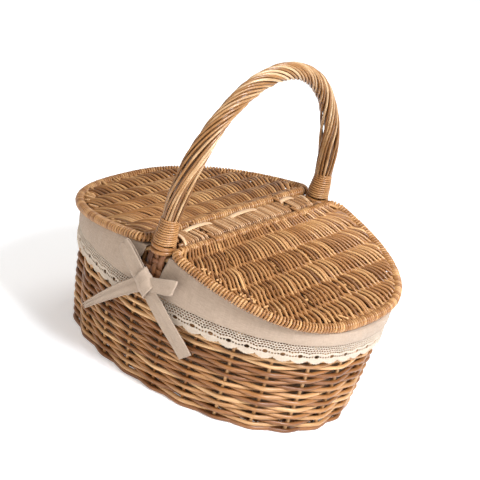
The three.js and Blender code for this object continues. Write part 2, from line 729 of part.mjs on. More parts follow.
function bowSolid() {
  const knot = new THREE.SphereGeometry(KNOT_R, 8, 5).scale(1, 0.6, 1.1).translate(0, -BOW_Y - 2, BOW_KNOT_Z);
  const z = BOW_KNOT_Z;
  const loopLong = [[0, 2, z], [-26, 6, z + 17], [-52, 3, z + 34], [-56, 0, z + 32], [-28, -1, z + 14], [0, 1, z]];
  const loopShort = [[0, 2, z], [18, 6, z + 10], [36, 3, z + 14], [37, 0, z + 9], [18, -1, z + 1], [0, 1, z]];
  const tailLong = [[0, 1, z], [34, -2, z - 32], [72, -13, z - 72]];
  const tailShort = [[0, 1, z], [-50, -2, z - 44], [-96, -20, z - 86]];
  return join([
    knot,
    strip(loopLong, BOW_STRIP),
    strip(loopShort, BOW_STRIP),
    strip(tailLong, BOW_STRIP),
    strip(tailShort, BOW_STRIP * 0.8),
  ]);
}

function buildBows() {
  const front = fromSolid(bowSolid());
  place('bow_front', front.clone(), 'linen');
  place('bow_back', front.clone().rotateZ(Math.PI), 'linen');
}

// ---- assembly -----------------------------------------------------------------------------

buildBase();
buildWall();
buildHandle();
buildBar();
buildHingeLoops();
buildLids();
buildBag();
buildCuffs();
buildBows();

export default basket;
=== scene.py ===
"""A willow picnic basket with two lids, a twisted handle, a linen liner, lace and bows.

Metres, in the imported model's frame: +X along the basket, the handle over the Y axis, +Z up.
"""

import json
import math

import bpy
import numpy as np
from mathutils import Matrix, Vector


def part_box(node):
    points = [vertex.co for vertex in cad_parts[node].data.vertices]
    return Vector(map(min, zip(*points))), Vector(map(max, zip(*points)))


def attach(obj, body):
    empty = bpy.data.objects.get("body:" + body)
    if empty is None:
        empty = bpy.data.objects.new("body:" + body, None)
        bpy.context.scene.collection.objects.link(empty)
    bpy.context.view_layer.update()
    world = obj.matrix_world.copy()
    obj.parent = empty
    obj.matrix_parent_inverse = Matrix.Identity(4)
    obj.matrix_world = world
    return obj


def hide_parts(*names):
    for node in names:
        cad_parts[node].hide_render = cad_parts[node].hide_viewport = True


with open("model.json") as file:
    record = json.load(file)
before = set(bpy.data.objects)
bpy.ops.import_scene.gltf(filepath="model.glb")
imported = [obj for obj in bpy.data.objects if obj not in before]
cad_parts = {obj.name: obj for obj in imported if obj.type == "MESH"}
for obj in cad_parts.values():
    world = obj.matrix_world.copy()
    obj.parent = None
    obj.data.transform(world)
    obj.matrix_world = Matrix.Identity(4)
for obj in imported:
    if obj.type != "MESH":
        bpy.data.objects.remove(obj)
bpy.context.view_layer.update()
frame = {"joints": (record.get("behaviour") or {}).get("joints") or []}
rng = np.random.default_rng(11)
MM = 0.001
UP = np.array([0.0, 0.0, 1.0])
ALONG_X = np.array([1.0, 0.0, 0.0])
ALONG_Y = np.array([0.0, 1.0, 0.0])

# ---- sizes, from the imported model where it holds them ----

HINGE = next(j for j in frame["joints"] if j["name"] == "lid_right_hinge")["pos_m"]
HINGE_X, HINGE_Z = HINGE[0], HINGE[2]
FOOT_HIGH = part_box("foot_wale")[1]
BASE_HALF_LENGTH, BASE_HALF_WIDTH = FOOT_HIGH.x, FOOT_HIGH.y
FLARE_LENGTH, FLARE_WIDTH = 13 * MM, 19 * MM
FLARE_HEIGHT = 186 * MM
FLARE_POWER = 2.2
BODY_SQUARENESS = 2.2
STAKES = 24
WALL_MID = -6.3 * MM  # the stakes' line, measured from the wall's outside
BORDER_R = 5.5 * MM

LID_HALF_LENGTH, LID_HALF_WIDTH = 213 * MM, 172 * MM
LID_SQUARENESS = 2.6
LID_SLOPE = math.atan(0.2)
LID_RIM_R = 6.3 * MM
LID_FRAME_R = 3.1 * MM
LID_CORNER_R = 12 * MM
LID_STICKS = 5
LID_PITCH = (LID_HALF_LENGTH - HINGE_X) / (LID_STICKS + 1)
CUFF_ROOM = 2.6 * MM  # between the border and the lids' rims
RIM_DROP = LID_RIM_R / math.cos(LID_SLOPE) + CUFF_ROOM
HINGE_LOOP_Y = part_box("hinge_loop_right_back")[0].y + 3 * MM  # the middle of a loop 6 mm wide
HINGE_LOOP_HALF = 5 * MM  # what the lids' rods leave clear on each side of it

BAR_HALF_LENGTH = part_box("bar_weave")[1].y
HANDLE_HALF_SPAN = 157 * MM
HANDLE_SPRING_Z = 213 * MM
HANDLE_RISE = 179 * MM
HANDLE_R = 10 * MM
HANDLE_FOOT_Z = 184.5 * MM
BINDING_LOW, BINDING_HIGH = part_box("handle_binding_front")

SEAM_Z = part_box("liner_cuff_right")[0].z
LACE_DEPTH = 27 * MM
CUFF_GAP_HALF = 17.5 * MM
CUFF_INSIDE = 14 * MM
CUFF_LEAN = 9 * MM  # each end of the cuffs slants this much from the rim to the seam
CUFF_LEAN_REACH = 60 * MM

# ---- outlines ----


def points_at(x, y, z):
    """Points from their coordinates, each of them one number or an array."""
    return np.stack(np.broadcast_arrays(x, y, z), -1)


def run_along(line):
    """The distance along a line of points to each of them."""
    return np.concatenate([[0], np.cumsum(np.linalg.norm(np.diff(line, axis=0), axis=1))])


def unit(vectors):
    return vectors / np.linalg.norm(vectors, axis=-1, keepdims=True)


def along_line(points, closed=False):
    """Unit directions along a line of points, or along the first way of a grid of them."""
    if closed:
        return unit(np.roll(points, -1, 0) - np.roll(points, 1, 0))
    return unit(np.gradient(points, axis=0))


def turned(angle, first, second):
    """Directions at these angles from `first` towards `second`."""
    return first * np.cos(angle)[:, None] + second * np.sin(angle)[:, None]


def smooth_step(x):
    x = np.clip(x, 0, 1)
    return x * x * (3 - 2 * x)


def oval(angle, half_length, half_width, squareness):
    """Points on a squarish oval in the directions `angle`."""
    c = np.abs(np.cos(angle) / half_length) ** squareness
    s = np.abs(np.sin(angle) / half_width) ** squareness
    reach = (c + s) ** (-1 / squareness)
    return reach * np.cos(angle), reach * np.sin(angle)


def wall(angle, z, offset):
    """Points `offset` outside the body's outer surface."""
    flare = 1 - (1 - np.clip(z / FLARE_HEIGHT, 0, 1)) ** FLARE_POWER
    half_length = BASE_HALF_LENGTH + FLARE_LENGTH * flare + offset
    half_width = BASE_HALF_WIDTH + FLARE_WIDTH * flare + offset
    x, y = oval(angle, half_length, half_width, BODY_SQUARENESS)
    return points_at(x, y, z)


FINE_ANGLES = np.linspace(0, 2 * np.pi, 1441)  # every quarter of a degree
FINE_LENGTHS = run_along(wall(FINE_ANGLES, FLARE_HEIGHT / 2, WALL_MID))
GIRTH = FINE_LENGTHS[-1]


def angle_at(share):
    """The direction of the point this share of the way round the oval's edge."""
    turns = np.floor(share)
    return np.interp((share - turns) * GIRTH, FINE_LENGTHS, FINE_ANGLES) + 2 * np.pi * turns


def share_at(angle):
    turns = np.floor(angle / (2 * np.pi))
    return np.interp(angle - 2 * np.pi * turns, FINE_ANGLES, FINE_LENGTHS) / GIRTH + turns


def rim_top(angle):
    """Height of the border, which dips from the handle towards both ends as the lids do."""
    x = np.abs(wall(angle, FLARE_HEIGHT, WALL_MID)[..., 0])
    return HINGE_Z - RIM_DROP - math.tan(LID_SLOPE) * np.maximum(0, x - HINGE_X)


def square_to_wall(angle):
    """Level directions square to the wall."""
    step = 0.01
    edge = unit(wall(angle + step, FLARE_HEIGHT, 0) - wall(angle - step, FLARE_HEIGHT, 0))
    return points_at(edge[..., 1], -edge[..., 0], 0)


def wobble(t, amount, scale):
    """A smooth random line: t in metres, waves about `scale` long, at most about `amount` high."""
    total = 0 * t
    for octave in (1.0, 1.9, 3.3):
        total = total + np.sin(2 * np.pi * t * octave / scale + rng.uniform(0, 2 * np.pi)) / octave
    return amount * total / 1.6


# ---- meshes ----


def link(made):
    bpy.context.scene.collection.objects.link(made)
    return made


def make_piece(name, material, nodes, points, faces, attributes, body="basket", smooth=True):
    """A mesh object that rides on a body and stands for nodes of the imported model."""
    mesh = bpy.data.meshes.new(name)
    mesh.from_pydata(points, [], faces)
    mesh.polygons.foreach_set("use_smooth", np.full(len(mesh.polygons), smooth))
    for key, values in attributes.items():
        kind, field = ("FLOAT_VECTOR", "vector") if values.ndim == 2 else ("FLOAT", "value")
        mesh.attributes.new(key, kind, "POINT").data.foreach_set(field, values.astype(np.float32).ravel())
    mesh.validate()
    mesh.materials.append(material)
    piece = link(bpy.data.objects.new(name, mesh))
    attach(piece, body)
    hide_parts(*nodes)
    return piece


class Rods:
    """Collects rods, each a tube along a line of points, and makes one piece of them all.

    Every rod carries `tone`, one random number unless it is given, and `grain`, its section's
    direction and the distance along it, which its material uses for fibres and colour.
    """

    def __init__(self):
        self.points, self.faces, self.tone, self.grain = [], [], [], []
        self.count = 0

    def add(self, line, radius, side=UP, sides=7, loop=False, flat=1.0, tone=None):
        """A rod with its section's first direction towards `side`; `flat` squashes the other."""
        steps = len(line)
        along = along_line(line, loop)
        u = unit(side - along * np.sum(side * along, 1, keepdims=True))
        v = np.cross(along, u)
        turn = np.linspace(0, 2 * np.pi, sides, endpoint=False)
        c, s = np.cos(turn), np.sin(turn)
        radius = np.broadcast_to(radius, (steps,))[:, None, None]
        points = line[:, None] + radius * (u[:, None] * c[:, None] + flat * v[:, None] * s[:, None])
        here = self.count + np.arange(steps * sides).reshape(steps, sides)
        ahead = np.roll(here, -1, 0)
        if not loop:
            self.faces += [here[0, ::-1].tolist(), here[-1].tolist()]
            here, ahead = here[:-1], ahead[:-1]
        quads = np.stack([here, np.roll(here, -1, 1), np.roll(ahead, -1, 1), ahead], -1)
        self.faces += quads.reshape(-1, 4).tolist()
        self.points.append(points.reshape(-1, 3))
        self.grain.append(points_at(c, s, run_along(line)[:, None]).reshape(-1, 3))
        tone = rng.random() if tone is None else tone
        self.tone.append(np.repeat(np.broadcast_to(tone, (steps,)), sides))
        self.count += steps * sides

    def make(self, name, slot, material, nodes, body="basket", move=np.asarray):
        """One piece of all the rods; `move` takes their points to another place."""
        points = move(np.concatenate(self.points))
        attributes = {"tone": np.concatenate(self.tone), "grain": np.concatenate(self.grain)}
        make_piece(name, material, nodes, points, self.faces, attributes, body)


# ---- materials ----


class Shader:
    """Short calls for building the node tree of a new material or world."""

    def __init__(self, name, kind=bpy.data.materials, output="Principled BSDF"):
        self.owner = kind.new(name)
        self.owner.use_nodes = True
        self.tree = self.owner.node_tree
        self.output = self.tree.nodes[output]

    def node(self, kind, inputs=None, **settings):
        made = self.tree.nodes.new(kind)
        for key, value in settings.items():
            setattr(made, key, value)
        for key, value in (inputs or {}).items():
            self.put(made.inputs[key], value)
        return made

    def put(self, socket, value):
        if isinstance(value, bpy.types.NodeSocket):
            self.tree.links.new(value, socket)
        else:
            socket.default_value = value

    def surface(self, name, value):
        """Sets one of the inputs of the surface or the background."""
        self.put(self.output.inputs[name], value)

    def attribute(self, name, output):
        return self.node("ShaderNodeAttribute", attribute_name=name).outputs[output]

    def maths(self, operation, a, b):
        return self.node("ShaderNodeMath", {0: a, 1: b}, operation=operation).outputs[0]

    def noise(self, vector, scales, w, detail):
        """Noise with this many waves to each unit of the vector's three directions."""
        inputs = {0: vector, 1: scales}
        scaled = self.node("ShaderNodeVectorMath", inputs, operation="MULTIPLY").outputs[0]
        inputs = {"Vector": scaled, "W": w, "Scale": 1.0, "Detail": detail, "Roughness": 0.6}
        return self.node("ShaderNodeTexNoise", inputs, noise_dimensions="4D").outputs["Fac"]

    def ribs(self, vector, scale, way):
        inputs = {"Vector": vector, "Scale": scale, "Distortion": 0.0}
        return self.node("ShaderNodeTexWave", inputs, bands_direction=way).outputs["Fac"]

    def ramp(self, value, stops):
        made = self.node("ShaderNodeValToRGB", {"Fac": value})
        elements = made.color_ramp.elements
        while len(elements) < len(stops):
            elements.new(0.5)
        for element, (place, colour) in zip(elements, stops):
            element.position = place
            element.color = (*colour, 1)
        return made.outputs["Color"]

    def spread(self, value, low, high, to_low, to_high, way="LINEAR"):
        inputs = {"Value": value, "From Min": low, "From Max": high, "To Min": to_low, "To Max": to_high}
        return self.node("ShaderNodeMapRange", inputs, interpolation_type=way).outputs["Result"]

    def shaded(self, colour, value, amount):
        """The colour times a value about 1, by this amount of it."""
        grey = self.node("ShaderNodeCombineColor", {0: value, 1: value, 2: value}).outputs[0]
        mix = self.node("ShaderNodeMix", data_type="RGBA", blend_type="MULTIPLY")
        factor, first, second = mix.inputs[0], mix.inputs[6], mix.inputs[7]
        for socket, given in ((factor, amount), (first, colour), (second, grey)):
            self.put(socket, given)
        return mix.outputs[2]

    def bump(self, height, strength, distance):
        inputs = {"Height": height, "Strength": strength, "Distance": distance}
        self.surface("Normal", self.node("ShaderNodeBump", inputs).outputs[0])


def srgb(*levels):
    """Linear values of an sRGB colour whose levels are between 11 and 255."""
    return tuple(((level / 255 + 0.055) / 1.055) ** 2.4 for level in levels)


FIBRES = (2.6, 2.6, 45.0)  # waves across a rod's section, and in a metre along it
ROD_PATCHES = (0.4, 0.4, 22.0)


def willow(name, dark, middle, light, roughness):
    """Peeled willow: fibres along each rod, rods of different tone, a few darker patches."""
    shader = Shader(name)
    tone = shader.attribute("tone", "Fac")
    grain = shader.attribute("grain", "Vector")
    seed = shader.maths("MULTIPLY", tone, 53.0)
    fibres = shader.noise(grain, FIBRES, seed, 3.0)
    patches = shader.noise(grain, ROD_PATCHES, seed, 1.0)
    rod_tone = shader.maths("MULTIPLY", tone, 0.55)
    mixed = shader.maths("ADD", rod_tone, shader.maths("MULTIPLY", patches, 0.5))
    base = shader.ramp(mixed, [(0.1, dark), (0.5, middle), (0.9, light)])
    streaks = shader.spread(fibres, 0.3, 0.7, 0.72, 1.12)
    shader.surface("Base Color", shader.shaded(base, streaks, 0.8))
    shader.surface("Roughness", shader.spread(fibres, 0.3, 0.7, roughness + 0.1, roughness - 0.08))
    shader.bump(fibres, 0.35, 0.6 * MM)
    shader.surface("Specular IOR Level", 0.45)
    return shader.owner


THREAD_WAVES, THREAD_RUN_WAVES = 1700.0, 140.0  # in a metre across a thread, and along it
CLOTH_PATCHES = (35.0, 35.0, 1.0)


def cloth(name, base, rib_scale, sheen):
    """Plain-woven cloth with uneven threads both ways. `cloth` holds metres across and down it."""
    shader = Shader(name)
    place = shader.attribute("cloth", "Vector")
    across = shader.noise(place, (THREAD_WAVES, THREAD_RUN_WAVES, 1.0), 1.0, 2.0)
    down = shader.noise(place, (THREAD_RUN_WAVES, THREAD_WAVES, 1.0), 2.0, 2.0)
    patches = shader.noise(place, CLOTH_PATCHES, 3.0, 3.0)
    threads = shader.maths("ADD", across, down)
    thread_shade = shader.spread(threads, 0.7, 1.3, 0.82, 1.1)
    shade = shader.maths("ADD", thread_shade, shader.spread(patches, 0.3, 0.7, -0.05, 0.05))
    shader.surface("Base Color", shader.shaded((*base, 1), shade, 1.0))
    shader.surface("Roughness", shader.spread(threads, 0.7, 1.3, 0.95, 0.8))
    ribs = shader.maths("ADD", shader.ribs(place, rib_scale, "X"), shader.ribs(place, rib_scale, "Y"))
    height = shader.maths("ADD", shader.maths("MULTIPLY", ribs, 0.3), threads)
    shader.bump(height, 0.6, 0.4 * MM)
    shader.surface("Sheen Weight", sheen)
    shader.surface("Sheen Roughness", 0.5)
    shader.surface("Specular IOR Level", 0.2)
    return shader.owner


WILLOW_BODY = willow("willow_body", srgb(98, 54, 24), srgb(154, 102, 54), srgb(220, 176, 124), 0.34)
WILLOW_LID = willow("willow_lid", srgb(98, 58, 26), srgb(154, 103, 56), srgb(206, 158, 104), 0.36)
WILLOW_BAR = willow("willow_bar", srgb(92, 56, 30), srgb(172, 124, 80), srgb(218, 178, 136), 0.32)
WILLOW_HANDLE = willow("willow_handle", srgb(98, 58, 28), srgb(154, 108, 62), srgb(226, 194, 152), 0.3)
CANE = willow("cane", srgb(170, 124, 82), srgb(198, 156, 114), srgb(218, 184, 146), 0.38)
BARK = willow("bark_strip", srgb(84, 48, 26), srgb(122, 76, 44), srgb(156, 106, 66), 0.5)
LINEN = cloth("linen", srgb(175, 153, 133), 900.0, 0.12)
# The bag's linen is darker than the cuff's: painted shade for where it is seen through the gaps of the wall.
LINING_PAINTED_SHADE = cloth("lining_painted_shade", srgb(150, 124, 102), 900.0, 0.12)
LACE = cloth("lace", srgb(196, 178, 158), 500.0, 0.1)

# ---- base, wall and border ----

BASE_STICKS = 5
BASE_STICK_R = 2 * MM
BASE_ROD_R = 2.1 * MM
BASE_ROD_PITCH = 2.05 * BASE_ROD_R
BASE_SWAY = 2.6 * MM
BASE_STEP = 5 * MM  # between the points of a rod

ROD_R = 2.6 * MM
ROW_PITCH = 5.4 * MM
LOWEST_ROW = ROD_R + 0.3 * MM  # just clear of the floor
SWAY = 4.0 * MM  # how far a rod swings out past one stake and in behind the next
ROD_SAMPLES = 10  # points from stake to stake
UNEVENNESS = 0.3 * MM
LEVEL_ROWS = 4  # rows at the foot in which the unevenness sets in
PHASES = 6  # radians that a row's waves are shifted by, at most

STAKE_R = 2.3 * MM
STAKE_FOOT = 3 * MM
PLAIT_STRANDS = 3
PLAIT_TURNS = 36
PLAIT_R = 2.7 * MM  # from the middle of the plait to that of a strand
STRAND_R = 2.6 * MM


def build_base():
    """Sticks across the basket, and rods along it that pass over one stick and under the next."""
    rods = Rods()
    low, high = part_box("base_weave")
    middle = (low.z + high.z) / 2
    nodes = [f"base_stick_{k + 1}" for k in range(BASE_STICKS)]
    for stick_low, stick_high in map(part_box, nodes):
        x = (stick_low.x + stick_high.x) / 2
        rods.add(points_at(x, np.linspace(stick_low.y, stick_high.y, 12), middle), BASE_STICK_R, sides=8)
    lefts = sorted(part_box(node)[0].x for node in nodes)
    spacing = lefts[1] - lefts[0]
    count = int((high.y - low.y) / BASE_ROD_PITCH)
    for k in range(count):
        y = low.y + (high.y - low.y) * (k + 0.5) / count
        reach = high.x * (1 - abs(y / high.y) ** BODY_SQUARENESS) ** (1 / BODY_SQUARENESS)
        x = np.linspace(-reach, reach, max(6, int(reach / BASE_STEP)))
        z = middle + BASE_SWAY * np.cos(np.pi * (x / spacing + k))
        rods.add(points_at(x, y, z), BASE_ROD_R * rng.uniform(0.9, 1.05), side=ALONG_Y, sides=6)
    rods.make("base_rods", "willow_body", WILLOW_BODY, ["base_weave", *nodes])


def weave_wave(s):
    """Rods run almost straight from stake to stake and bend round each; s counts stakes."""
    return (np.cos(np.pi * s) + 0.11 * np.cos(3 * np.pi * s) + 0.03 * np.cos(5 * np.pi * s)) / 1.14


def wall_row(rods, row, z, first, last):
    """One rod's row from stake number `first` to `last`; a full round is closed."""
    whole = last - first >= STAKES
    steps = int(round((last - first) * ROD_SAMPLES)) + (0 if whole else 1)
    s = np.linspace(first, last, steps, endpoint=not whole)
    angle = angle_at((s + 0.5) / STAKES)
    offset = WALL_MID + SWAY * weave_wave(s + row)
    round_once = 2 * np.pi * s / STAKES
    uneven = UNEVENNESS * min(1, row / LEVEL_ROWS)
    height = z + uneven * sum(np.sin(round_once * k + rng.uniform(0, PHASES)) for k in (1, 3, 7))
    taper = 1 + 0.1 * np.sin(round_once * rng.integers(1, 4) + rng.uniform(0, PHASES))
    rods.add(wall(angle, height, offset), ROD_R * rng.uniform(0.92, 1.06) * taper, sides=8, loop=whole)


def build_wall():
    """Closed rounds as high as the border's lowest points, then a stretch by each handle foot."""
    rods = Rods()
    lowest_rim = float(rim_top(0.0)) - 2 * BORDER_R
    rows = int((HINGE_Z - RIM_DROP - 2 * BORDER_R) / ROW_PITCH)
    stakes = np.linspace(0, STAKES, 721)
    tops = rim_top(angle_at((stakes + 0.5) / STAKES)) - 2 * BORDER_R
    wall_row(rods, 1, LOWEST_ROW, 0, STAKES)  # a second rod at the foot, on the stakes' other sides
    for row in range(rows):
        z = LOWEST_ROW + row * ROW_PITCH
        if z + ROD_R < lowest_rim:
            wall_row(rods, row, z, 0, STAKES)
            continue
        room = stakes[tops > z + ROD_R]
        for low, high in ((0, STAKES / 2), (STAKES / 2, STAKES)):
            there = room[(room >= low) & (room <= high)]
            if len(there) > ROD_SAMPLES:
                wall_row(rods, row, z, there[0], there[-1])
    nodes = ["wall_weave", "foot_wale"]
    rods.make("wall_rods", "willow_body", WILLOW_BODY, nodes)


def build_stakes_and_border():
    """The upright stakes, and the plait along the rim that their ends are laid into."""
    rods = Rods()
    for k in range(STAKES):
        angle = angle_at(np.array([(k + 0.5) / STAKES]))
        z = np.linspace(STAKE_FOOT, float(rim_top(angle)[0]) - BORDER_R, 30)
        line = wall(angle, z, WALL_MID + 0.3 * MM)
        rods.add(line, STAKE_R, side=square_to_wall(angle)[0], sides=8)
    t = np.linspace(0, 1, 720, endpoint=False)
    angle = angle_at(t)
    middle = wall(angle, rim_top(angle) - BORDER_R, WALL_MID)
    out = square_to_wall(angle)
    for k in range(PLAIT_STRANDS):
        twist = 2 * np.pi * (PLAIT_TURNS * t + k / PLAIT_STRANDS)
        rods.add(middle + PLAIT_R * turned(twist, out, UP), STRAND_R, loop=True)
    rods.make("stakes_and_border_plait", "willow_body", WILLOW_BODY, ["stakes_and_border"])


# ---- lids ----
# A lid is drawn flat: x from its hinge outwards, y along the bar, z = 0 in its middle.

HOOP_HALF_LENGTH, HOOP_HALF_WIDTH = LID_HALF_LENGTH - LID_RIM_R, LID_HALF_WIDTH - LID_RIM_R
STICK_R = 1.9 * MM
STICK_SHORT = 4 * MM  # what a stick stops short of the hoop's middle

WEAVERS = 122
WEAVER_R = 1.58 * MM
THICKENING = 0.25  # how much thicker than that a weaver is at the hoop
WEAVER_STEP = 3.4 * MM  # between the points of a weaver
WEAVER_SIDE = 0.3 * ALONG_X + ALONG_Y + 0.2 * UP  # never in line with a weaver
ONE_OR_TWO = [0.96, 0.04]  # how often one weaver or two in a row start the same way
PLACE_JITTER = 0.0008  # as a share of half the straight side
DRIFT, DRIFT_WAVE = 0.9 * MM, 60 * MM  # how a weaver wanders sideways
HOOP_SHARE = 0.98  # of the hoop's length that the weavers end on
SETTLING = 12 * MM  # length in which a weaver comes level with the hoop
LID_SWAY = STICK_R + 1.2 * WEAVER_R

WINDING_R = 1.65 * MM
WINDING_PITCH = 4.1 * MM

TIPS = 14
TIP_STRETCH = (0.06, 0.5)  # of the hoop's length, from the front, where the cut tips are
TIP_START, TIP_LENGTH = 18 * MM, 12 * MM  # in from the hoop, and towards it
TIP_LOW, TIP_RISE = 1.5 * MM, 3.4 * MM
TIP_ASIDE = 10 * MM


def onto_lid(end):
    """The move from the flat drawing onto the left or the right lid."""

    def move(points):
        x, y, z = points.T
        c, s = math.cos(LID_SLOPE), math.sin(LID_SLOPE)
        placed = np.stack([HINGE_X + x * c + z * s, y, HINGE_Z - x * s + z * c], -1)
        return placed if end == "right" else placed * (-1, -1, 1)

    return move


def hoop_half_width(x):
    share = ((x + HINGE_X) / HOOP_HALF_LENGTH) ** LID_SQUARENESS
    return HOOP_HALF_WIDTH * (1 - share) ** (1 / LID_SQUARENESS)


def hoop_line():
    """The D frame's round part, from the front corner to the back one."""
    corner = hoop_half_width(LID_CORNER_R)
    sweep = math.atan2(corner, LID_CORNER_R + HINGE_X)
    x, y = oval(np.linspace(-sweep, sweep, 240), HOOP_HALF_LENGTH, HOOP_HALF_WIDTH, LID_SQUARENESS)
    bend = np.linspace(0, np.pi / 2, 12, endpoint=False)
    bend_x = LID_CORNER_R * (1 - np.cos(bend))
    bend_y = corner - LID_CORNER_R * (1 - np.sin(bend))
    xs = np.concatenate([bend_x, x - HINGE_X, bend_x[::-1]])
    ys = np.concatenate([-bend_y, y, bend_y[::-1]])
    return points_at(xs, ys, 0)


HOOP = hoop_line()
HOOP_RUN = run_along(HOOP)
HOOP_LENGTH = HOOP_RUN[-1]
EDGE_HALF = -HOOP[0, 1]


def hoop_at(run):
    return np.stack([np.interp(run, HOOP_RUN, HOOP[:, i]) for i in range(3)], -1)


def hoop_frame(run):
    """The hoop's point, direction and outward normal at a distance along it."""
    step = 0.5 * MM
    along = unit(hoop_at(np.minimum(run + step, HOOP_LENGTH)) - hoop_at(np.maximum(run - step, 0)))
    return hoop_at(run), along, points_at(along[..., 1], -along[..., 0], 0)


def straight_frame(run):
    """The straight side's point, direction and outward normal at a distance from its back end."""
    return points_at(0, EDGE_HALF - run, 0), -ALONG_Y, -ALONG_X


def weaver_places():
    """Where the weavers start along the straight side, -1 to 1, and which way each first goes."""
    ways, way = [], 1
    while len(ways) < WEAVERS:
        ways += [way] * rng.choice([1, 2], p=ONE_OR_TWO)
        way = -way
    places = np.linspace(-1, 1, len(ways)) + rng.normal(0, PLACE_JITTER, len(ways))
    return np.clip(places, -1, 1), ways


def add_weaver(rods, place, way):
    """One rod from the straight side to the hoop, over one stick and under the next."""
    start = np.array([0, place * EDGE_HALF, 0])
    run = hoop_at(HOOP_LENGTH / 2 * (1 + HOOP_SHARE * place)) - start
    reach = np.linalg.norm(run)
    q = np.linspace(0, 1, max(6, int(reach / WEAVER_STEP)))
    aside = np.array([-run[1], run[0], 0]) / reach
    drift = wobble(q * reach, DRIFT, DRIFT_WAVE) * np.sin(np.pi * q)
    line = start + run * q[:, None] + aside * drift[:, None]
    depth = line[:, 0]
    to_hoop = smooth_step((q * reach - (reach - SETTLING)) / SETTLING)
    line[:, 2] = way * np.cos(np.pi * depth / LID_PITCH) * LID_SWAY * (1 - to_hoop)
    radius = WEAVER_R * rng.uniform(0.92, 1.1) * (1 + THICKENING * q)
    if abs(abs(start[1]) - HINGE_LOOP_Y) < HINGE_LOOP_HALF:
        clear = depth > LID_RIM_R
        line, radius = line[clear], radius[clear]
    rods.add(line, radius, side=WEAVER_SIDE, sides=6)


def add_winding(rods, length, frame_at, gaps=()):
    """Turns of rod side by side round the hoop or the straight side, left out at the gaps."""
    turn = np.linspace(-np.pi, np.pi, 13)
    coil_r = LID_RIM_R - WINDING_R
    for start in np.arange(WINDING_PITCH, length, WINDING_PITCH):
        if any(abs(start - gap) < HINGE_LOOP_HALF for gap in gaps):
            continue
        middle, along, out = frame_at(start + WINDING_PITCH * turn / (2 * np.pi))
        radius = WINDING_R * rng.uniform(0.88, 1.05)
        coil = middle + coil_r * turned(turn, out, UP)
        rods.add(coil, radius, side=along, sides=6, tone=rng.uniform(0.3, 1))


def add_tip(rods, run):
    """The cut end of a rod, standing a little out of the weave beside the hoop."""
    middle, along, out = hoop_frame(run)
    t = np.linspace(0, 1, 6)[:, None]
    slant = rng.uniform(-0.6, 0.6)
    line = middle - out * (TIP_START - TIP_LENGTH * t)
    line = line + along * slant * TIP_ASIDE * t + UP * (TIP_LOW + TIP_RISE * t)
    rods.add(line, WEAVER_R * np.linspace(1, 0.85, 6), side=along, tone=1.0)


def build_lid_weave(end):
    """Weavers over the sticks, the winding round the hoop and the straight side, and cut tips."""
    rods = Rods()
    for place, way in zip(*weaver_places()):
        add_weaver(rods, place, way)
    add_winding(rods, HOOP_LENGTH, hoop_frame)
    add_winding(rods, 2 * EDGE_HALF, straight_frame, (EDGE_HALF - HINGE_LOOP_Y, EDGE_HALF + HINGE_LOOP_Y))
    for run in rng.uniform(*TIP_STRETCH, TIPS) * HOOP_LENGTH:
        add_tip(rods, run if end == "right" else HOOP_LENGTH - run)
    body = f"lid_{end}"
    nodes = [f"{body}_weave"]
    rods.make(f"{body}_weavers", "willow_lid", WILLOW_LID, nodes, body, onto_lid(end))


def build_lid_frame(end):
    """The rod bent into the hoop and the straight side, and the sticks across it."""
    rods = Rods()
    straight = points_at(0, np.linspace(EDGE_HALF, -EDGE_HALF, 30)[1:-1], 0)
    rods.add(np.concatenate([HOOP, straight]), LID_FRAME_R, sides=10, loop=True)
    for k in range(LID_STICKS):
        x = (k + 1) * LID_PITCH
        half = hoop_half_width(x) - STICK_SHORT
        rods.add(points_at(x, np.linspace(-half, half, 40), 0), STICK_R, sides=8)
    body = f"lid_{end}"
    nodes = [f"{body}_frame"] + [f"{body}_stick_{k + 1}" for k in range(LID_STICKS)]
    rods.make(f"{body}_frame_and_sticks", "willow_lid", WILLOW_LID, nodes, body, onto_lid(end))


# ---- bar and hinge loops ----

BAR_STICK_R = 2.3 * MM
BAR_STICK_X = 9.7 * MM
BAR_ROD_R = 1.22 * MM
BAR_ROD_PITCH = 3.7 * MM
BAR_ROD_SLANT = 0.9 * MM
BAR_END = 13 * MM  # each end is left open beside the handle's foot
BAR_GAP_HALF = 4.5 * MM  # what its rods leave clear on each side of a hinge loop
BAR_TOP = BAR_STICK_R + 2 * BAR_ROD_R  # height of the cross rods above the sticks' middles

STRIP_X = -9 * MM
STRIP_HALF_WIDTH = 3.4 * MM
STRIP_FLATNESS = 0.26
STRIP_OVER = [(-0.80, -0.40), (-0.15, 0.26), (0.60, 0.82)]  # where the strip shows, in half lengths
STRIP_HALF_LENGTH = BAR_HALF_LENGTH - 2 * MM
STRIP_LIFT = BAR_TOP + 1.4 * MM
TIE_HALF_WIDTH = 3 * MM  # a tie is a short flat strip across an end of the bar
TIE_REACH = 14 * MM
TIE_SLANT = 7 * MM
TIE_LOW, TIE_LIFT = 3 * MM, BAR_TOP + 3.6 * MM

LOOP_CANE_R = 1.0 * MM
LOOP_CANE_PITCH = 1.9 * MM
LOOP_INNER_X = 10 * MM
LOOP_R = LID_FRAME_R + 1.1 * MM


def round_the_bar():
    """The closed line of a rod wound round the three sticks: x, and height from their middles."""
    lift = BAR_STICK_R + BAR_ROD_R
    turn = np.linspace(np.pi / 2, -np.pi / 2, 8)
    across = np.linspace(-BAR_STICK_X, BAR_STICK_X, 9)[1:-1]
    end_x, end_z = BAR_STICK_X + lift * np.cos(turn), lift * np.sin(turn)
    xs = np.concatenate([across, end_x, across[::-1], -end_x[::-1]])
    zs = np.concatenate([0 * across + lift, end_z, 0 * across - lift, end_z[::-1]])
    return xs, zs


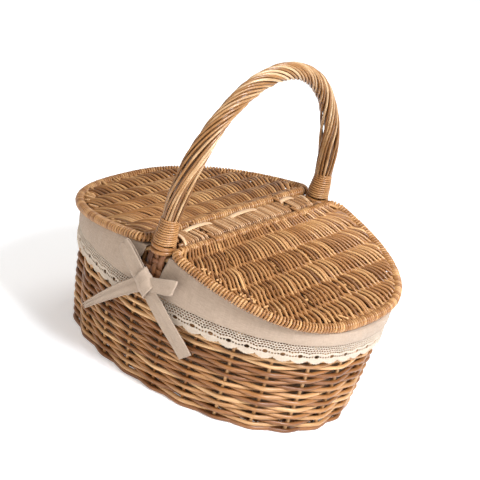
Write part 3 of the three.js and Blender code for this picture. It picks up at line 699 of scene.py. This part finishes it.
def build_bar():
    """Three sticks and the thin rods wound across them."""
    rods = Rods()
    y = np.linspace(-BAR_HALF_LENGTH, BAR_HALF_LENGTH, 30)
    for x in (-BAR_STICK_X, 0, BAR_STICK_X):
        # Tone 0 gives the sticks the darkest colour: painted shade in the gaps between the wound rods, where
        # the sticks show.
        rods.add(points_at(x, y, HINGE_Z), BAR_STICK_R, sides=10, tone=0.0)
    xs, zs = round_the_bar()
    wound = BAR_HALF_LENGTH - BAR_END
    for y in np.arange(-wound, wound, BAR_ROD_PITCH):
        if abs(abs(y) - HINGE_LOOP_Y) < BAR_GAP_HALF:
            continue
        slant = (BAR_ROD_SLANT + rng.uniform(-0.4, 0.4) * MM) * xs / BAR_STICK_X
        line = points_at(xs, y + slant, HINGE_Z + zs + rng.normal(0, 0.25 * MM))
        rods.add(line, BAR_ROD_R * rng.uniform(0.85, 1.15), side=ALONG_Y, loop=True)
    nodes = ["bar_weave", "bar_stick_1", "bar_stick_2", "bar_stick_3"]
    rods.make("bar_rods", "willow_lid", WILLOW_BAR, nodes)


def build_bar_strips():
    """A flat strip that runs along the bar over and under its rods, and a tie across each end."""
    strips = Rods()
    y = np.linspace(-STRIP_HALF_LENGTH, STRIP_HALF_LENGTH, 160)
    above = 0 * y
    for low, high in STRIP_OVER:
        along = np.clip((y / STRIP_HALF_LENGTH - low) / (high - low), 0, 1)
        above += np.sin(np.pi * along) ** 0.28
    line = points_at(STRIP_X, y, HINGE_Z + above * STRIP_LIFT)
    strips.add(line, STRIP_HALF_WIDTH, side=ALONG_X, flat=STRIP_FLATNESS, tone=0.8)
    t = np.linspace(0, 1, 16)
    for end in (-1, 1):
        x = end * TIE_REACH * (1 - 2 * t)
        y = end * (BAR_HALF_LENGTH - BAR_END + 3 * MM - TIE_SLANT * (1 - t))
        z = HINGE_Z - TIE_LOW + TIE_LIFT * np.sin(np.pi * t) ** 0.35
        strips.add(points_at(x, y, z), TIE_HALF_WIDTH, side=ALONG_Y, flat=STRIP_FLATNESS, tone=0.7)
    strips.make("bar_strips", "willow_lid", CANE, [])


def build_hinge_loops():
    """At four places, three turns of cane round the bar's side and a lid's straight side."""
    turn = np.linspace(-np.pi / 2, np.pi / 2, 9)
    xs = np.concatenate([HINGE_X + LOOP_R * np.cos(turn), LOOP_INNER_X - LOOP_R * np.cos(turn)])
    zs = np.concatenate([LOOP_R * np.sin(turn), -LOOP_R * np.sin(turn)])
    for end, sign in (("right", 1), ("left", -1)):
        for place, y in (("front", -HINGE_LOOP_Y), ("back", HINGE_LOOP_Y)):
            rods = Rods()
            for k in (-1, 0, 1):
                line = points_at(sign * xs, y + k * LOOP_CANE_PITCH, HINGE_Z + zs)
                rods.add(line, LOOP_CANE_R, side=ALONG_Y, sides=6, loop=True)
            node = f"hinge_loop_{end}_{place}"
            rods.make(f"{node}_cane", "cane", WILLOW_LID, [node])


# ---- handle ----

HANDLE_RODS = 14
HANDLE_STRAND_NODES = 9
HANDLE_ROD_R = 1.65 * MM
HANDLE_TURNS = 2.6
BULGE_AT, BULGE_REACH = 95 * MM, 42 * MM  # where the rods stand apart, along from each foot

BINDING_TURNS = 11
BINDING_CANE_R = 1.3 * MM
BINDING_R, BINDING_TAPER = 13.3 * MM, 3.0 * MM
FOOT_LOOP_R = 2.7 * MM
FOOT_LOOP_X, FOOT_LOOP_Y = 12.7 * MM, 13.2 * MM
FOOT_LOOP_RISE, FOOT_LOOP_PITCH = 2.6 * MM, 4.8 * MM
FOOT_LOOP_TILT = 0.9 * MM

PANEL_STRIPS = 3  # each way
PANEL_SPACING = 8.2 * MM
PANEL_LEVEL = 12 * MM  # from one strip across to the next
PANEL_SWELL = 1.2 * MM
PANEL_OUT = 2.6 * MM
PANEL_HALF_WIDTH = 12 * MM


def handle_line(steps):
    """Evenly spaced points along the handle's middle, from the front foot to the back one."""
    arch = np.linspace(0, np.pi, 200)
    y = -HANDLE_HALF_SPAN * np.cos(arch)
    z = HANDLE_SPRING_Z + HANDLE_RISE * np.sin(arch)
    legs = np.linspace(HANDLE_FOOT_Z, HANDLE_SPRING_Z, 30, endpoint=False)
    y = np.concatenate([0 * legs - HANDLE_HALF_SPAN, y, 0 * legs + HANDLE_HALF_SPAN])
    z = np.concatenate([legs, z, legs[::-1]])
    run = run_along(points_at(0, y, z))
    even = np.linspace(0, run[-1], steps)
    return points_at(0, np.interp(even, run, y), np.interp(even, run, z)), even


def build_handle():
    """Rods twisted round a core: almost straight at the feet, where they bulge apart, tighter on top."""
    rods = Rods()
    middle, run = handle_line(220)
    in_plane = np.cross(along_line(middle), ALONG_X)
    share = run / run[-1]
    twist = 2 * np.pi * HANDLE_TURNS * (share - 0.85 * np.sin(2 * np.pi * share) / (2 * np.pi))
    from_foot = np.minimum(run, run[-1] - run)
    bulge = np.exp(-(((from_foot - BULGE_AT) / BULGE_REACH) ** 2))
    neck = np.exp(-((from_foot / BULGE_REACH) ** 2))
    ring = (HANDLE_R + 1.2 * MM) * (1 + 0.2 * bulge - 0.15 * neck) - HANDLE_ROD_R
    # The rods' tone rises towards the top of the arch: a painted highlight where the light from above falls.
    painted_top_highlight = 0.25 * np.sin(np.pi * share) ** 2
    for k in range(HANDLE_RODS):
        base = 2 * np.pi * (k + 0.3 * rng.random()) / HANDLE_RODS
        sideways = turned(twist + base + 0.34 * bulge * np.sin(2 * base), ALONG_X, in_plane)
        line = middle + sideways * (ring + wobble(run, 0.6 * MM, 150 * MM))[:, None]
        radius = HANDLE_ROD_R * rng.uniform(0.84, 1.08) * (1 + wobble(run, 0.06, 120 * MM))
        rods.add(line, radius, side=sideways, sides=8, tone=rng.uniform(0, 0.7) + painted_top_highlight)
    core = (ring - 1.2 * HANDLE_ROD_R) * (1 - 0.34 * bulge)
    # Tone 0 gives the core the darkest colour: painted shade in the grooves between the rods, where it shows.
    rods.add(middle, core, side=ALONG_X, sides=10, tone=0.0)
    nodes = [f"handle_strand_{k + 1}" for k in range(HANDLE_STRAND_NODES)] + ["handle_core"]
    rods.make("handle_rods", "willow_handle", WILLOW_HANDLE, nodes)


def build_binding(end, side):
    """Cane bound round the handle above its foot, tighter towards the top."""
    rods = Rods()
    t = np.linspace(0, 1, BINDING_TURNS * 22)
    low, high = BINDING_LOW.z + 1 * MM, BINDING_HIGH.z - 1 * MM
    radius = BINDING_R - BINDING_TAPER * smooth_step(t * 0.85) + 0.2 * MM * np.sin(t * 61)
    twist = 2 * np.pi * BINDING_TURNS * t
    y = side * HANDLE_HALF_SPAN + radius * np.sin(twist)
    line = points_at(radius * np.cos(twist), y, low + (high - low) * t)
    rods.add(line, BINDING_CANE_R, sides=8, flat=0.9, tone=0.6)
    node = f"handle_binding_{end}"
    rods.make(f"{node}_cane", "cane", WILLOW_LID, [node])


def build_foot_loops(end, side):
    """A thick rod looped twice round the handle's foot, one turn tilted against the other."""
    rods = Rods()
    twist = np.linspace(0, 2 * np.pi, 48, endpoint=False)
    x = FOOT_LOOP_X * np.cos(twist)
    y = side * HANDLE_HALF_SPAN + FOOT_LOOP_Y * np.sin(twist)
    for k, tilt in enumerate((FOOT_LOOP_TILT, -FOOT_LOOP_TILT)):
        z = HANDLE_FOOT_Z + FOOT_LOOP_RISE + FOOT_LOOP_PITCH * k + tilt * np.cos(twist + side)
        rods.add(points_at(x, y, z), FOOT_LOOP_R, sides=10, loop=True, tone=0.3)
    node = f"handle_foot_loop_{end}"
    rods.make(f"{node}_rod", "cane", WILLOW_LID, [node])


def build_foot_panel(end, side):
    """Flat strips down the wall in the gap of the cuff, woven with as many across them."""
    rods = Rods()
    node = f"handle_foot_panel_{end}"
    low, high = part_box(node)
    lowest = low.z + 7 * MM
    angle = side * np.pi / 2
    z = np.linspace(low.z - 6 * MM, high.z, 30)
    for k in range(PANEL_STRIPS):
        near = wall(angle, z, PANEL_OUT)[:, 1]
        over = PANEL_SWELL * np.cos(np.pi * ((z - lowest) / PANEL_LEVEL + k))
        line = points_at((k - 1) * PANEL_SPACING, near + side * over, z)
        rods.add(line, 3.8 * MM, side=ALONG_X, flat=0.26)
    x = np.linspace(-PANEL_HALF_WIDTH, PANEL_HALF_WIDTH, 24)
    for k in range(PANEL_STRIPS):
        height = lowest + PANEL_LEVEL * k
        near = wall(angle, height, PANEL_OUT)[1]
        under = PANEL_SWELL * np.cos(np.pi * (x / PANEL_SPACING + 1 + k))
        rods.add(points_at(x, near - side * under, height), 3.4 * MM, flat=0.28)
    rods.make(f"{node}_strips", "willow_body", BARK, [node])


# ---- liner and lace ----

CLOTH_THICKNESS = 0.8 * MM
CUFF_STEPS = 260
CUFF_ROUND = 1.5 * MM  # height of the cloth's turn over the border
CUFF_BACK = 2 * WALL_MID - 1.6 * MM
CUFF_FRONT = 1.8 * MM
CUFF_TOP = 0.1 * MM  # where the turn starts, from the border's top
CUFF_PUFF = 1.6 * MM
CUFF_HEM = 1.4 * MM  # how far the hem stands out, over the lace's top edge
GATHER, GATHER_REACH = 0.9 * MM, 26 * MM

LACE_REPEATS = 26  # scallops on each half
LACE_COLUMNS = 12  # narrow columns to a scallop, which every row's corners lie on
LACE_THICKNESS = 0.6 * MM
LACE_EDGE = 0.07  # all heights in the lace are shares of its depth
NET_ROWS, NET_ROW = 4, 0.115
SLOT_TOP, SLOT_BOTTOM = 0.57, 0.76
SLOT_HALF = 2  # columns on each side of the scallop's middle
SCALLOP_TOP, SCALLOP_DEPTH, LOBE_DEPTH = 0.82, 0.15, 0.03
FAN_RISE = 0.06  # how far the rows of holes arch up in a scallop's middle

BAG_STEPS = 240
BAG_BACK = 2 * WALL_MID - 3.6 * MM
BAG_CORNER = 4 * MM  # how far the sides draw in at the bed, and start above it


class Cloths:
    """Collects cloths of even thickness, each from a grid of points, and makes one piece of them."""

    def __init__(self):
        self.points, self.faces, self.places = [], [], []
        self.count = 0

    def add(self, outer, across, down, closed=False):
        """A cloth from its outer side, a grid of points [along, down]; a closed one joins its ends.

        `across` and `down` are metres over the cloth at each point of the grid.
        """
        rows, columns = outer.shape[:2]
        normal = np.cross(along_line(outer, closed), np.gradient(outer, axis=1))
        normal /= np.maximum(np.linalg.norm(normal, axis=-1, keepdims=True), 1e-9)
        inner = outer + normal * CLOTH_THICKNESS
        self.points.append(np.concatenate([outer, inner[:, ::-1]], 1).reshape(-1, 3))
        here = self.count + np.arange(rows * 2 * columns).reshape(rows, -1)
        ahead = np.roll(here, -1, 0)
        if not closed:
            for ring in (here[0], here[-1, ::-1]):
                back = ring[::-1]
                ends = np.stack([ring, np.roll(ring, -1), np.roll(back, -1), back], -1)
                self.faces += ends[: columns - 1].tolist()
            here, ahead = here[:-1], ahead[:-1]
        quads = np.stack([here, ahead, np.roll(ahead, -1, 1), np.roll(here, -1, 1)], -1)
        self.faces += quads.reshape(-1, 4).tolist()
        places = points_at(across, down, np.zeros((rows, columns)))
        self.places.append(np.concatenate([places, places[:, ::-1]], 1).reshape(-1, 3))
        self.count += rows * 2 * columns

    def make(self, name, material, node, turn=1):
        """One piece of all the cloths; a `turn` of -1 takes it to the other side of the basket."""
        points = np.concatenate(self.points) * (turn, turn, 1)
        attributes = {"cloth": np.concatenate(self.places)}
        return make_piece(name, material, [node], points, self.faces, attributes)


def half_share(end):
    """The shares of the oval's edge where this half's cloth starts and stops at the handle."""
    gap = CUFF_GAP_HALF / (BASE_HALF_WIDTH + FLARE_WIDTH)
    middle = 0.0 if end == "right" else math.pi
    return share_at(np.array([middle - math.pi / 2 + gap, middle + math.pi / 2 - gap]))


def lean_at(end, share, z):
    """How far the cloth's ends lean over below the rim, as a share of the oval's edge."""
    low, high = half_share(end)
    from_end = np.minimum(np.abs(share - low), np.abs(high - share)) * GIRTH
    below = np.clip((HINGE_Z - z) / (HINGE_Z - SEAM_Z), 0, 1)
    return CUFF_LEAN * below * np.exp(-((from_end / CUFF_LEAN_REACH) ** 2)) / GIRTH


def cuff_profile(rim):
    """Heights and offsets down the cuff: up from inside, over the border and down to the seam."""
    top = rim + CUFF_TOP
    t = np.linspace(0, 1, 12)
    inside = (rim - CUFF_INSIDE * (1 - t), CUFF_BACK)
    turn = np.linspace(0, np.pi, 12)[1:-1]
    middle, half = (CUFF_FRONT + CUFF_BACK) / 2, (CUFF_FRONT - CUFF_BACK) / 2
    over = (top + CUFF_ROUND * np.sin(turn), middle - half * np.cos(turn))
    t = np.linspace(0, 1, 24)
    puff = CUFF_PUFF * np.sin(np.pi * np.clip(t * 1.05, 0, 1)) ** 0.8
    outside = (top + (SEAM_Z - top) * t, CUFF_FRONT + puff + CUFF_HEM * t**2)
    parts = [np.stack(np.broadcast_arrays(z, offset), -1) for z, offset in (inside, over, outside)]
    return np.concatenate(parts, 1)


def build_cuff(end):
    """The liner's turned-out top, softly folded, and gathered where it ends at the handle."""
    low, high = half_share(end)
    share = np.linspace(low, high, CUFF_STEPS)[:, None]
    metres = share * GIRTH
    profile = cuff_profile(rim_top(angle_at(share)))
    z, offset = profile[..., 0], profile[..., 1]
    folds = wobble(metres, 0.35 * MM, 46 * MM) + wobble(metres + 0.12 * z, 0.3 * MM, 23 * MM)
    ends = np.minimum(share - low, high - share) * GIRTH
    gather = np.exp(-((ends / GATHER_REACH) ** 2)) * np.sin(z / (6 * MM) + 60 * ends) * GATHER
    hanging = smooth_step((offset - 0.5 * MM) / (1 * MM))
    offset = offset + (folds + gather) * hanging
    outside = smooth_step((offset - CUFF_BACK) / (2 * MM - CUFF_BACK))
    leaning = angle_at(share - lean_at(end, share, z) * outside)
    down = run_along(profile[CUFF_STEPS // 2])
    cloths = Cloths()
    cloths.add(wall(leaning, z, offset), metres, down)
    piece = cloths.make(f"linen_cuff_{end}", LINEN, f"liner_cuff_{end}")


class LaceTile:
    """One scallop of the lace, flat: points [across 0..1, down 0..1] and faces, its holes left open.

    From the top: a plain edge, a net of small holes in brick order, a plain band, a row of holes
    with one wide slot in the scallop's middle, and a scalloped edge of small lobes.
    """

    def __init__(self):
        self.points, self.faces = [], []
        self.add_plain(0, LACE_EDGE)
        self.add_net()
        self.add_plain(LACE_EDGE + NET_ROWS * NET_ROW, SLOT_TOP)
        self.add_slots()
        self.add_scallop()
        self.points = np.array(self.points, float) / (LACE_COLUMNS, 1)
        self.points[:, 1] -= FAN_RISE * np.sin(np.pi * self.points[:, 0]) * np.sin(np.pi * self.points[:, 1])
        self.faces = np.array(self.faces)

    def add_quad(self, *corners):
        first = len(self.points)
        self.points.extend(corners)
        self.faces.append([first, first + 1, first + 2, first + 3])

    def add_plain(self, top, bottom):
        for left in range(LACE_COLUMNS):
            self.add_quad((left, top), (left + 1, top), (left + 1, bottom), (left, bottom))

    def add_holed(self, left, right, top, bottom, hole_width, hole_height):
        """A rectangle from column `left` to `right` with an oval hole of those shares of it."""
        width, height = right - left, bottom - top
        middle, centre = (top + bottom) / 2, (left + right) / 2
        columns = range(left, right + 1)
        outer = [(c, top) for c in columns] + [(right, middle)]
        outer += [(c, bottom) for c in reversed(columns)] + [(left, middle)]
        ring = []
        for column, y in outer:
            turn = math.atan2((y - middle) / height, (column - centre) / width)
            across = hole_width * width / 2 * math.cos(turn)
            ring.append((centre + across, middle + hole_height * height / 2 * math.sin(turn)))
        first, count = len(self.points), len(outer)
        self.points.extend(outer + ring)
        for k in range(count):
            ahead = (k + 1) % count
            self.faces.append([first + k, first + ahead, first + count + ahead, first + count + k])

    def add_net(self):
        for row in range(NET_ROWS):
            top = LACE_EDGE + row * NET_ROW
            shift = row % 2
            for left in range(shift, LACE_COLUMNS - 1 + shift, 2):
                from_middle = abs(left + 1 - LACE_COLUMNS / 2) / (LACE_COLUMNS / 2)
                hole = 0.88 - 0.2 * abs(from_middle - row / NET_ROWS)
                self.add_holed(left, left + 2, top, top + NET_ROW, hole, hole)

    def add_slots(self):
        slot_left, slot_right = LACE_COLUMNS // 2 - SLOT_HALF, LACE_COLUMNS // 2 + SLOT_HALF
        self.add_holed(slot_left, slot_right, SLOT_TOP, SLOT_BOTTOM, 0.94, 0.85)
        for left in [*range(0, slot_left, 2), *range(slot_right, LACE_COLUMNS, 2)]:
            self.add_holed(left, left + 2, SLOT_TOP, SLOT_BOTTOM, 0.7, 0.5)

    def add_scallop(self):
        """The bottom edge, lower in the scallop's middle and at every other column's corner."""
        corners = range(LACE_COLUMNS + 1)
        waves = [math.sin(math.pi * c / LACE_COLUMNS) ** 0.8 for c in corners]
        edge = [SCALLOP_TOP + LOBE_DEPTH * (c % 2) + SCALLOP_DEPTH * waves[c] for c in corners]
        for c in range(LACE_COLUMNS):
            self.add_quad((c, SLOT_BOTTOM), (c + 1, SLOT_BOTTOM), (c + 1, edge[c + 1]), (c, edge[c]))


def build_lace(end):
    """A band of lace: the flat tile repeated, welded, bent onto the wall and given two sides."""
    low, high = half_share(end)
    tile = LaceTile()
    repeats = np.arange(LACE_REPEATS)[:, None]
    places = points_at((repeats + tile.points[:, 0]) / LACE_REPEATS, tile.points[:, 1], 0)[..., :2]
    places, merged = np.unique(np.round(places.reshape(-1, 2), 6), axis=0, return_inverse=True)
    faces = merged.ravel()[(tile.faces + repeats[..., None] * len(tile.points)).reshape(-1, 4)]
    edges = np.concatenate([faces[:, [i, (i + 1) % 4]] for i in range(4)])
    _, first_use, uses = np.unique(np.sort(edges, 1), axis=0, return_index=True, return_counts=True)
    rims = edges[first_use[uses == 1]]
    share, down = low + (high - low) * places[:, 0], places[:, 1]
    metres = share * GIRTH
    stand_off = 1.2 * MM + 1.2 * MM * down + wobble(metres, 0.5 * MM, 38 * MM) * down
    z = SEAM_Z + 1.5 * MM - LACE_DEPTH * down
    angle = angle_at(share - lean_at(end, share, z))
    points = np.concatenate([wall(angle, z, stand_off + LACE_THICKNESS), wall(angle, z, stand_off)])
    count = len(places)
    walls = np.stack([rims[:, 1], rims[:, 0], rims[:, 0] + count, rims[:, 1] + count], -1)
    faces = np.concatenate([faces[:, ::-1], faces + count, walls[:, ::-1]])
    cloth_places = np.tile(points_at(metres, LACE_DEPTH * down, 0), (2, 1))
    name, nodes, attributes = f"lace_band_{end}", [f"lace_{end}"], {"cloth": cloth_places}
    piece = make_piece(name, LACE, nodes, points, faces.tolist(), attributes, smooth=False)


def build_bag():
    """The liner inside the wall: folded sides, and a bed that lies on the base."""
    share = np.linspace(0, 1, BAG_STEPS, endpoint=False)[:, None]
    angle = angle_at(share)
    metres = share * GIRTH
    floor_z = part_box("liner_bag")[0].z + 1 * MM
    top = rim_top(angle) - CUFF_INSIDE + 4 * MM
    t = np.linspace(0, 1, 24)
    z = floor_z + BAG_CORNER + (top - floor_z - BAG_CORNER) * t
    folds = wobble(metres, 0.7 * MM, 80 * MM) + wobble(metres - 0.5 * z, 0.6 * MM, 37 * MM)
    side = wall(angle, z, BAG_BACK - BAG_CORNER * (1 - t) ** 3 + folds * np.sin(np.pi * t))
    rings = np.linspace(0.003, 0.99, 18)
    bed = side[:, :1] * rings[:, None]
    bed[..., 2] = floor_z + wobble(metres, 0.5 * MM, 160 * MM) * rings**2
    outer = np.concatenate([bed, side], 1)[:, ::-1]
    across = np.concatenate([bed[..., 0], metres + 0 * z], 1)[:, ::-1]
    down = np.concatenate([bed[..., 1], z], 1)[:, ::-1]
    cloths = Cloths()
    cloths.add(outer, across, down, closed=True)
    piece = cloths.make("linen_bag", LINING_PAINTED_SHADE, "liner_bag")


# ---- bows ----
# A ribbon's points are [x, outwards, z] in mm from the middle of the knot.

BOW_Y = 172 * MM
BOW_KNOT_Z = 146 * MM
BOW_WIDTH = 21 * MM
RIBBON_STEPS, RIBBON_COLUMNS = 72, 13
LOOP_SIDE = [(0, 4.5), (0.35, 6), (0.75, 5.5), (0.96, 4.4), (1.0, 3.2), (0.95, 2), (0.6, 1.6), (0, 1.6)]
KNOT_ACROSS, KNOT_OUT, KNOT_LENGTH = 12 * MM, 6.5 * MM, 26 * MM
KNOT_TILT = math.radians(48)


def smooth_through(values, t):
    """Catmull-Rom through equally spaced values."""
    padded = np.concatenate([[2 * values[0] - values[1]], values, [2 * values[-1] - values[-2]]])
    i = np.clip(t.astype(int), 0, len(values) - 2)
    f = t - i
    a, b, c, d = (padded[i + k] for k in range(4))
    return 0.5 * (2 * b + (c - a) * f + (2 * a - 5 * b + 4 * c - d) * f**2 + (3 * b - a - 3 * c + d) * f**3)


def ribbon(points, widths, across=None):
    """A strip along the points, as wide as `widths` in mm from end to end.

    Its broad side faces outwards, unless `across` gives the direction across it. Where it is
    narrow it is gathered into pleats.
    """
    points = np.array(points, float) * MM
    t = np.linspace(0, len(points) - 1, RIBBON_STEPS)
    x, outwards, z = (smooth_through(points[:, i], t) for i in range(3))
    line = points_at(x, -BOW_Y - outwards, BOW_KNOT_Z + z)
    along = along_line(line)
    wide = points_at(along[:, 2], 0, -along[:, 0]) if across is None else np.full(line.shape, across)
    wide = unit(wide)
    out = np.cross(wide, along)
    share = t / t[-1]
    width = np.interp(share, np.linspace(0, 1, len(widths)), widths)[:, None] * MM
    w = np.linspace(-0.5, 0.5, RIBBON_COLUMNS)
    gathered = np.interp(width, [9 * MM, BOW_WIDTH], [1.0, 0.15])
    crease = gathered * np.cos(2 * np.pi * w * 1.7) * 0.9 * MM
    crease = crease + 0.35 * MM * np.cos(9 * w + 3 * share[:, None])
    return line[:, None] + wide[:, None] * (w * width)[..., None] + out[:, None] * crease[..., None]


def loop_of_bow(angle, length, widths, skew=0.0):
    """A loop that leaves the knot at `angle`, folds flat at its tip and comes back behind itself.

    `length` is in mm, and `skew` turns the fold at the tip away from square.
    """
    c, s = length * math.cos(angle), length * math.sin(angle)
    line = [[reach * c, out, reach * s] for reach, out in LOOP_SIDE]
    slant = angle + math.pi / 2 + skew
    return ribbon(line, widths, across=(math.cos(slant), 0, math.sin(slant)))


def knot_of_bow():
    """The band pulled tight round the bow's middle, slanting the way the long tail runs."""
    turn = np.linspace(0, 2 * np.pi, 32, endpoint=False)[:, None]
    w = np.linspace(-0.5, 0.5, RIBBON_COLUMNS)
    full = 1 - 0.14 * (2 * w) ** 2 + 0.05 * np.cos(2 * np.pi * w * 2)
    across = KNOT_ACROSS * np.cos(turn) * full
    outwards = KNOT_OUT * np.sin(turn) * full
    upright = KNOT_LENGTH * w + 3 * MM * np.cos(turn)
    c, s = math.cos(KNOT_TILT), math.sin(KNOT_TILT)
    z = BOW_KNOT_Z + across * s + upright * c
    return points_at(across * c - upright * s, -BOW_Y - 4 * MM + outwards, z)


def build_bow(end, turn):
    """Two loops, a long and a short tail and the knot, as one piece; `turn` -1 puts it at the back."""
    strips = [
        loop_of_bow(math.radians(143), 55, [20, 22, 21, 14, 15, 19, 16]),
        loop_of_bow(math.radians(18), 44, [17, 21, 23, 21, 20, 18, 16], math.radians(-28)),
        ribbon([[2, 4, 0], [15, 4, -13], [37, -1, -35], [58, -9, -57], [70, -13, -70]], [19, 20, 20, 20, 20]),
        ribbon([[0, 3, 0], [-26, 3, -20], [-62, -5, -53], [-98, -20, -88]], [19, 17, 12, 6]),
        knot_of_bow(),
    ]
    cloths = Cloths()
    length = 0.0
    down = np.linspace(0, BOW_WIDTH, RIBBON_COLUMNS)
    for k, grid in enumerate(strips):
        run = length + run_along(grid[:, RIBBON_COLUMNS // 2])
        cloths.add(grid, run[:, None], down, closed=k == len(strips) - 1)
        length = run[-1]
    piece = cloths.make(f"linen_bow_{end}", LINEN, f"bow_{end}", turn)


# ---- stage ----

FLOOR_HALF = 30.0
COOL, NEUTRAL = (0.93, 0.985, 1.06), (1.0, 1.0, 1.0)
# name, azimuth and elevation in degrees, distance, size, power and colour
LIGHTS = [
    ("key", 80, 46, 1.9, 0.6, 58, COOL),
    ("front_fill", 10, 35, 2.4, 1.2, 9, NEUTRAL),
    ("back", 190, 60, 2.2, 1.0, 16, NEUTRAL),
]
CAMERA_AZIMUTH, CAMERA_ELEVATION, CAMERA_LEAN = 32.2, 24.2, 15.1
CAMERA_DISTANCE = 2.19
CAMERA_TARGET = Vector((0.0315, -0.048, 0.190))
CAMERA_LENS = 135.5


def direction(azimuth, elevation):
    """The way to a place at these degrees round from the front to the right, and up."""
    a, e = math.radians(azimuth), math.radians(elevation)
    return Vector((math.sin(a) * math.cos(e), -math.cos(a) * math.cos(e), math.sin(e)))


def build_floor():
    """A pale floor, a hair under the basket, that shines a little so that it stays near white."""
    mesh = bpy.data.meshes.new("floor")
    corners = [(x * FLOOR_HALF, y * FLOOR_HALF, 0) for x, y in ((-1, -1), (1, -1), (1, 1), (-1, 1))]
    mesh.from_pydata(corners, [], [(0, 1, 2, 3)])
    floor = link(bpy.data.objects.new("floor", mesh))
    floor.location.z = -0.3 * MM
    shader = Shader("floor")
    shader.surface("Base Color", (0.93, 0.93, 0.93, 1))
    shader.surface("Roughness", 0.9)
    shader.surface("Emission Color", (1, 1, 1, 1))
    shader.surface("Emission Strength", 0.3)
    mesh.materials.append(shader.owner)


def build_world():
    """An even room light, whiter towards the horizon so that the floor runs into its backdrop."""
    shader = Shader("studio", bpy.data.worlds, "Background")
    shader.surface("Color", (1.0, 0.972, 0.945, 1))
    way = shader.node("ShaderNodeTexCoord").outputs["Generated"]
    height = shader.node("ShaderNodeSeparateXYZ", {0: way}).outputs["Z"]
    shader.surface("Strength", shader.spread(height, 0.1, 0.45, 1.0, 0.34, "SMOOTHSTEP"))
    bpy.context.scene.world = shader.owner
    bpy.context.scene.view_settings.view_transform = "Standard"


def build_lights():
    for name, azimuth, elevation, distance, size, power, colour in LIGHTS:
        light = bpy.data.lights.new(name, "AREA")
        light.size = size
        light.energy = power
        light.color = colour
        lamp = link(bpy.data.objects.new(name, light))
        away = direction(azimuth, elevation)
        lamp.location = Vector((0, 0, HINGE_Z)) + away * distance
        lamp.rotation_euler = away.to_track_quat("Z", "Y").to_euler()


def build_camera():
    """The basket is seen from the front right, a little from above, leaning to the left."""
    data = bpy.data.cameras.new("camera")
    data.lens = CAMERA_LENS
    data.sensor_width = 36
    camera = link(bpy.data.objects.new("camera", data))
    away = direction(CAMERA_AZIMUTH, CAMERA_ELEVATION)
    turn = away.to_track_quat("Z", "Y").to_matrix() @ Matrix.Rotation(math.radians(CAMERA_LEAN), 3, "Z")
    camera.matrix_world = Matrix.Translation(CAMERA_TARGET + away * CAMERA_DISTANCE) @ turn.to_4x4()
    bpy.context.scene.camera = camera


# ---- assembly ----

build_base()
build_wall()
build_stakes_and_border()
for lid_end in ("right", "left"):
    build_lid_weave(lid_end)
    build_lid_frame(lid_end)
    build_cuff(lid_end)
    build_lace(lid_end)
build_bar()
build_bar_strips()
build_hinge_loops()
build_handle()
for foot_end, foot_side in (("front", -1), ("back", 1)):
    build_binding(foot_end, foot_side)
    build_foot_loops(foot_end, foot_side)
    build_foot_panel(foot_end, foot_side)
build_bag()
build_bow("front", 1)
build_bow("back", -1)
build_floor()
build_world()
build_lights()
build_camera()
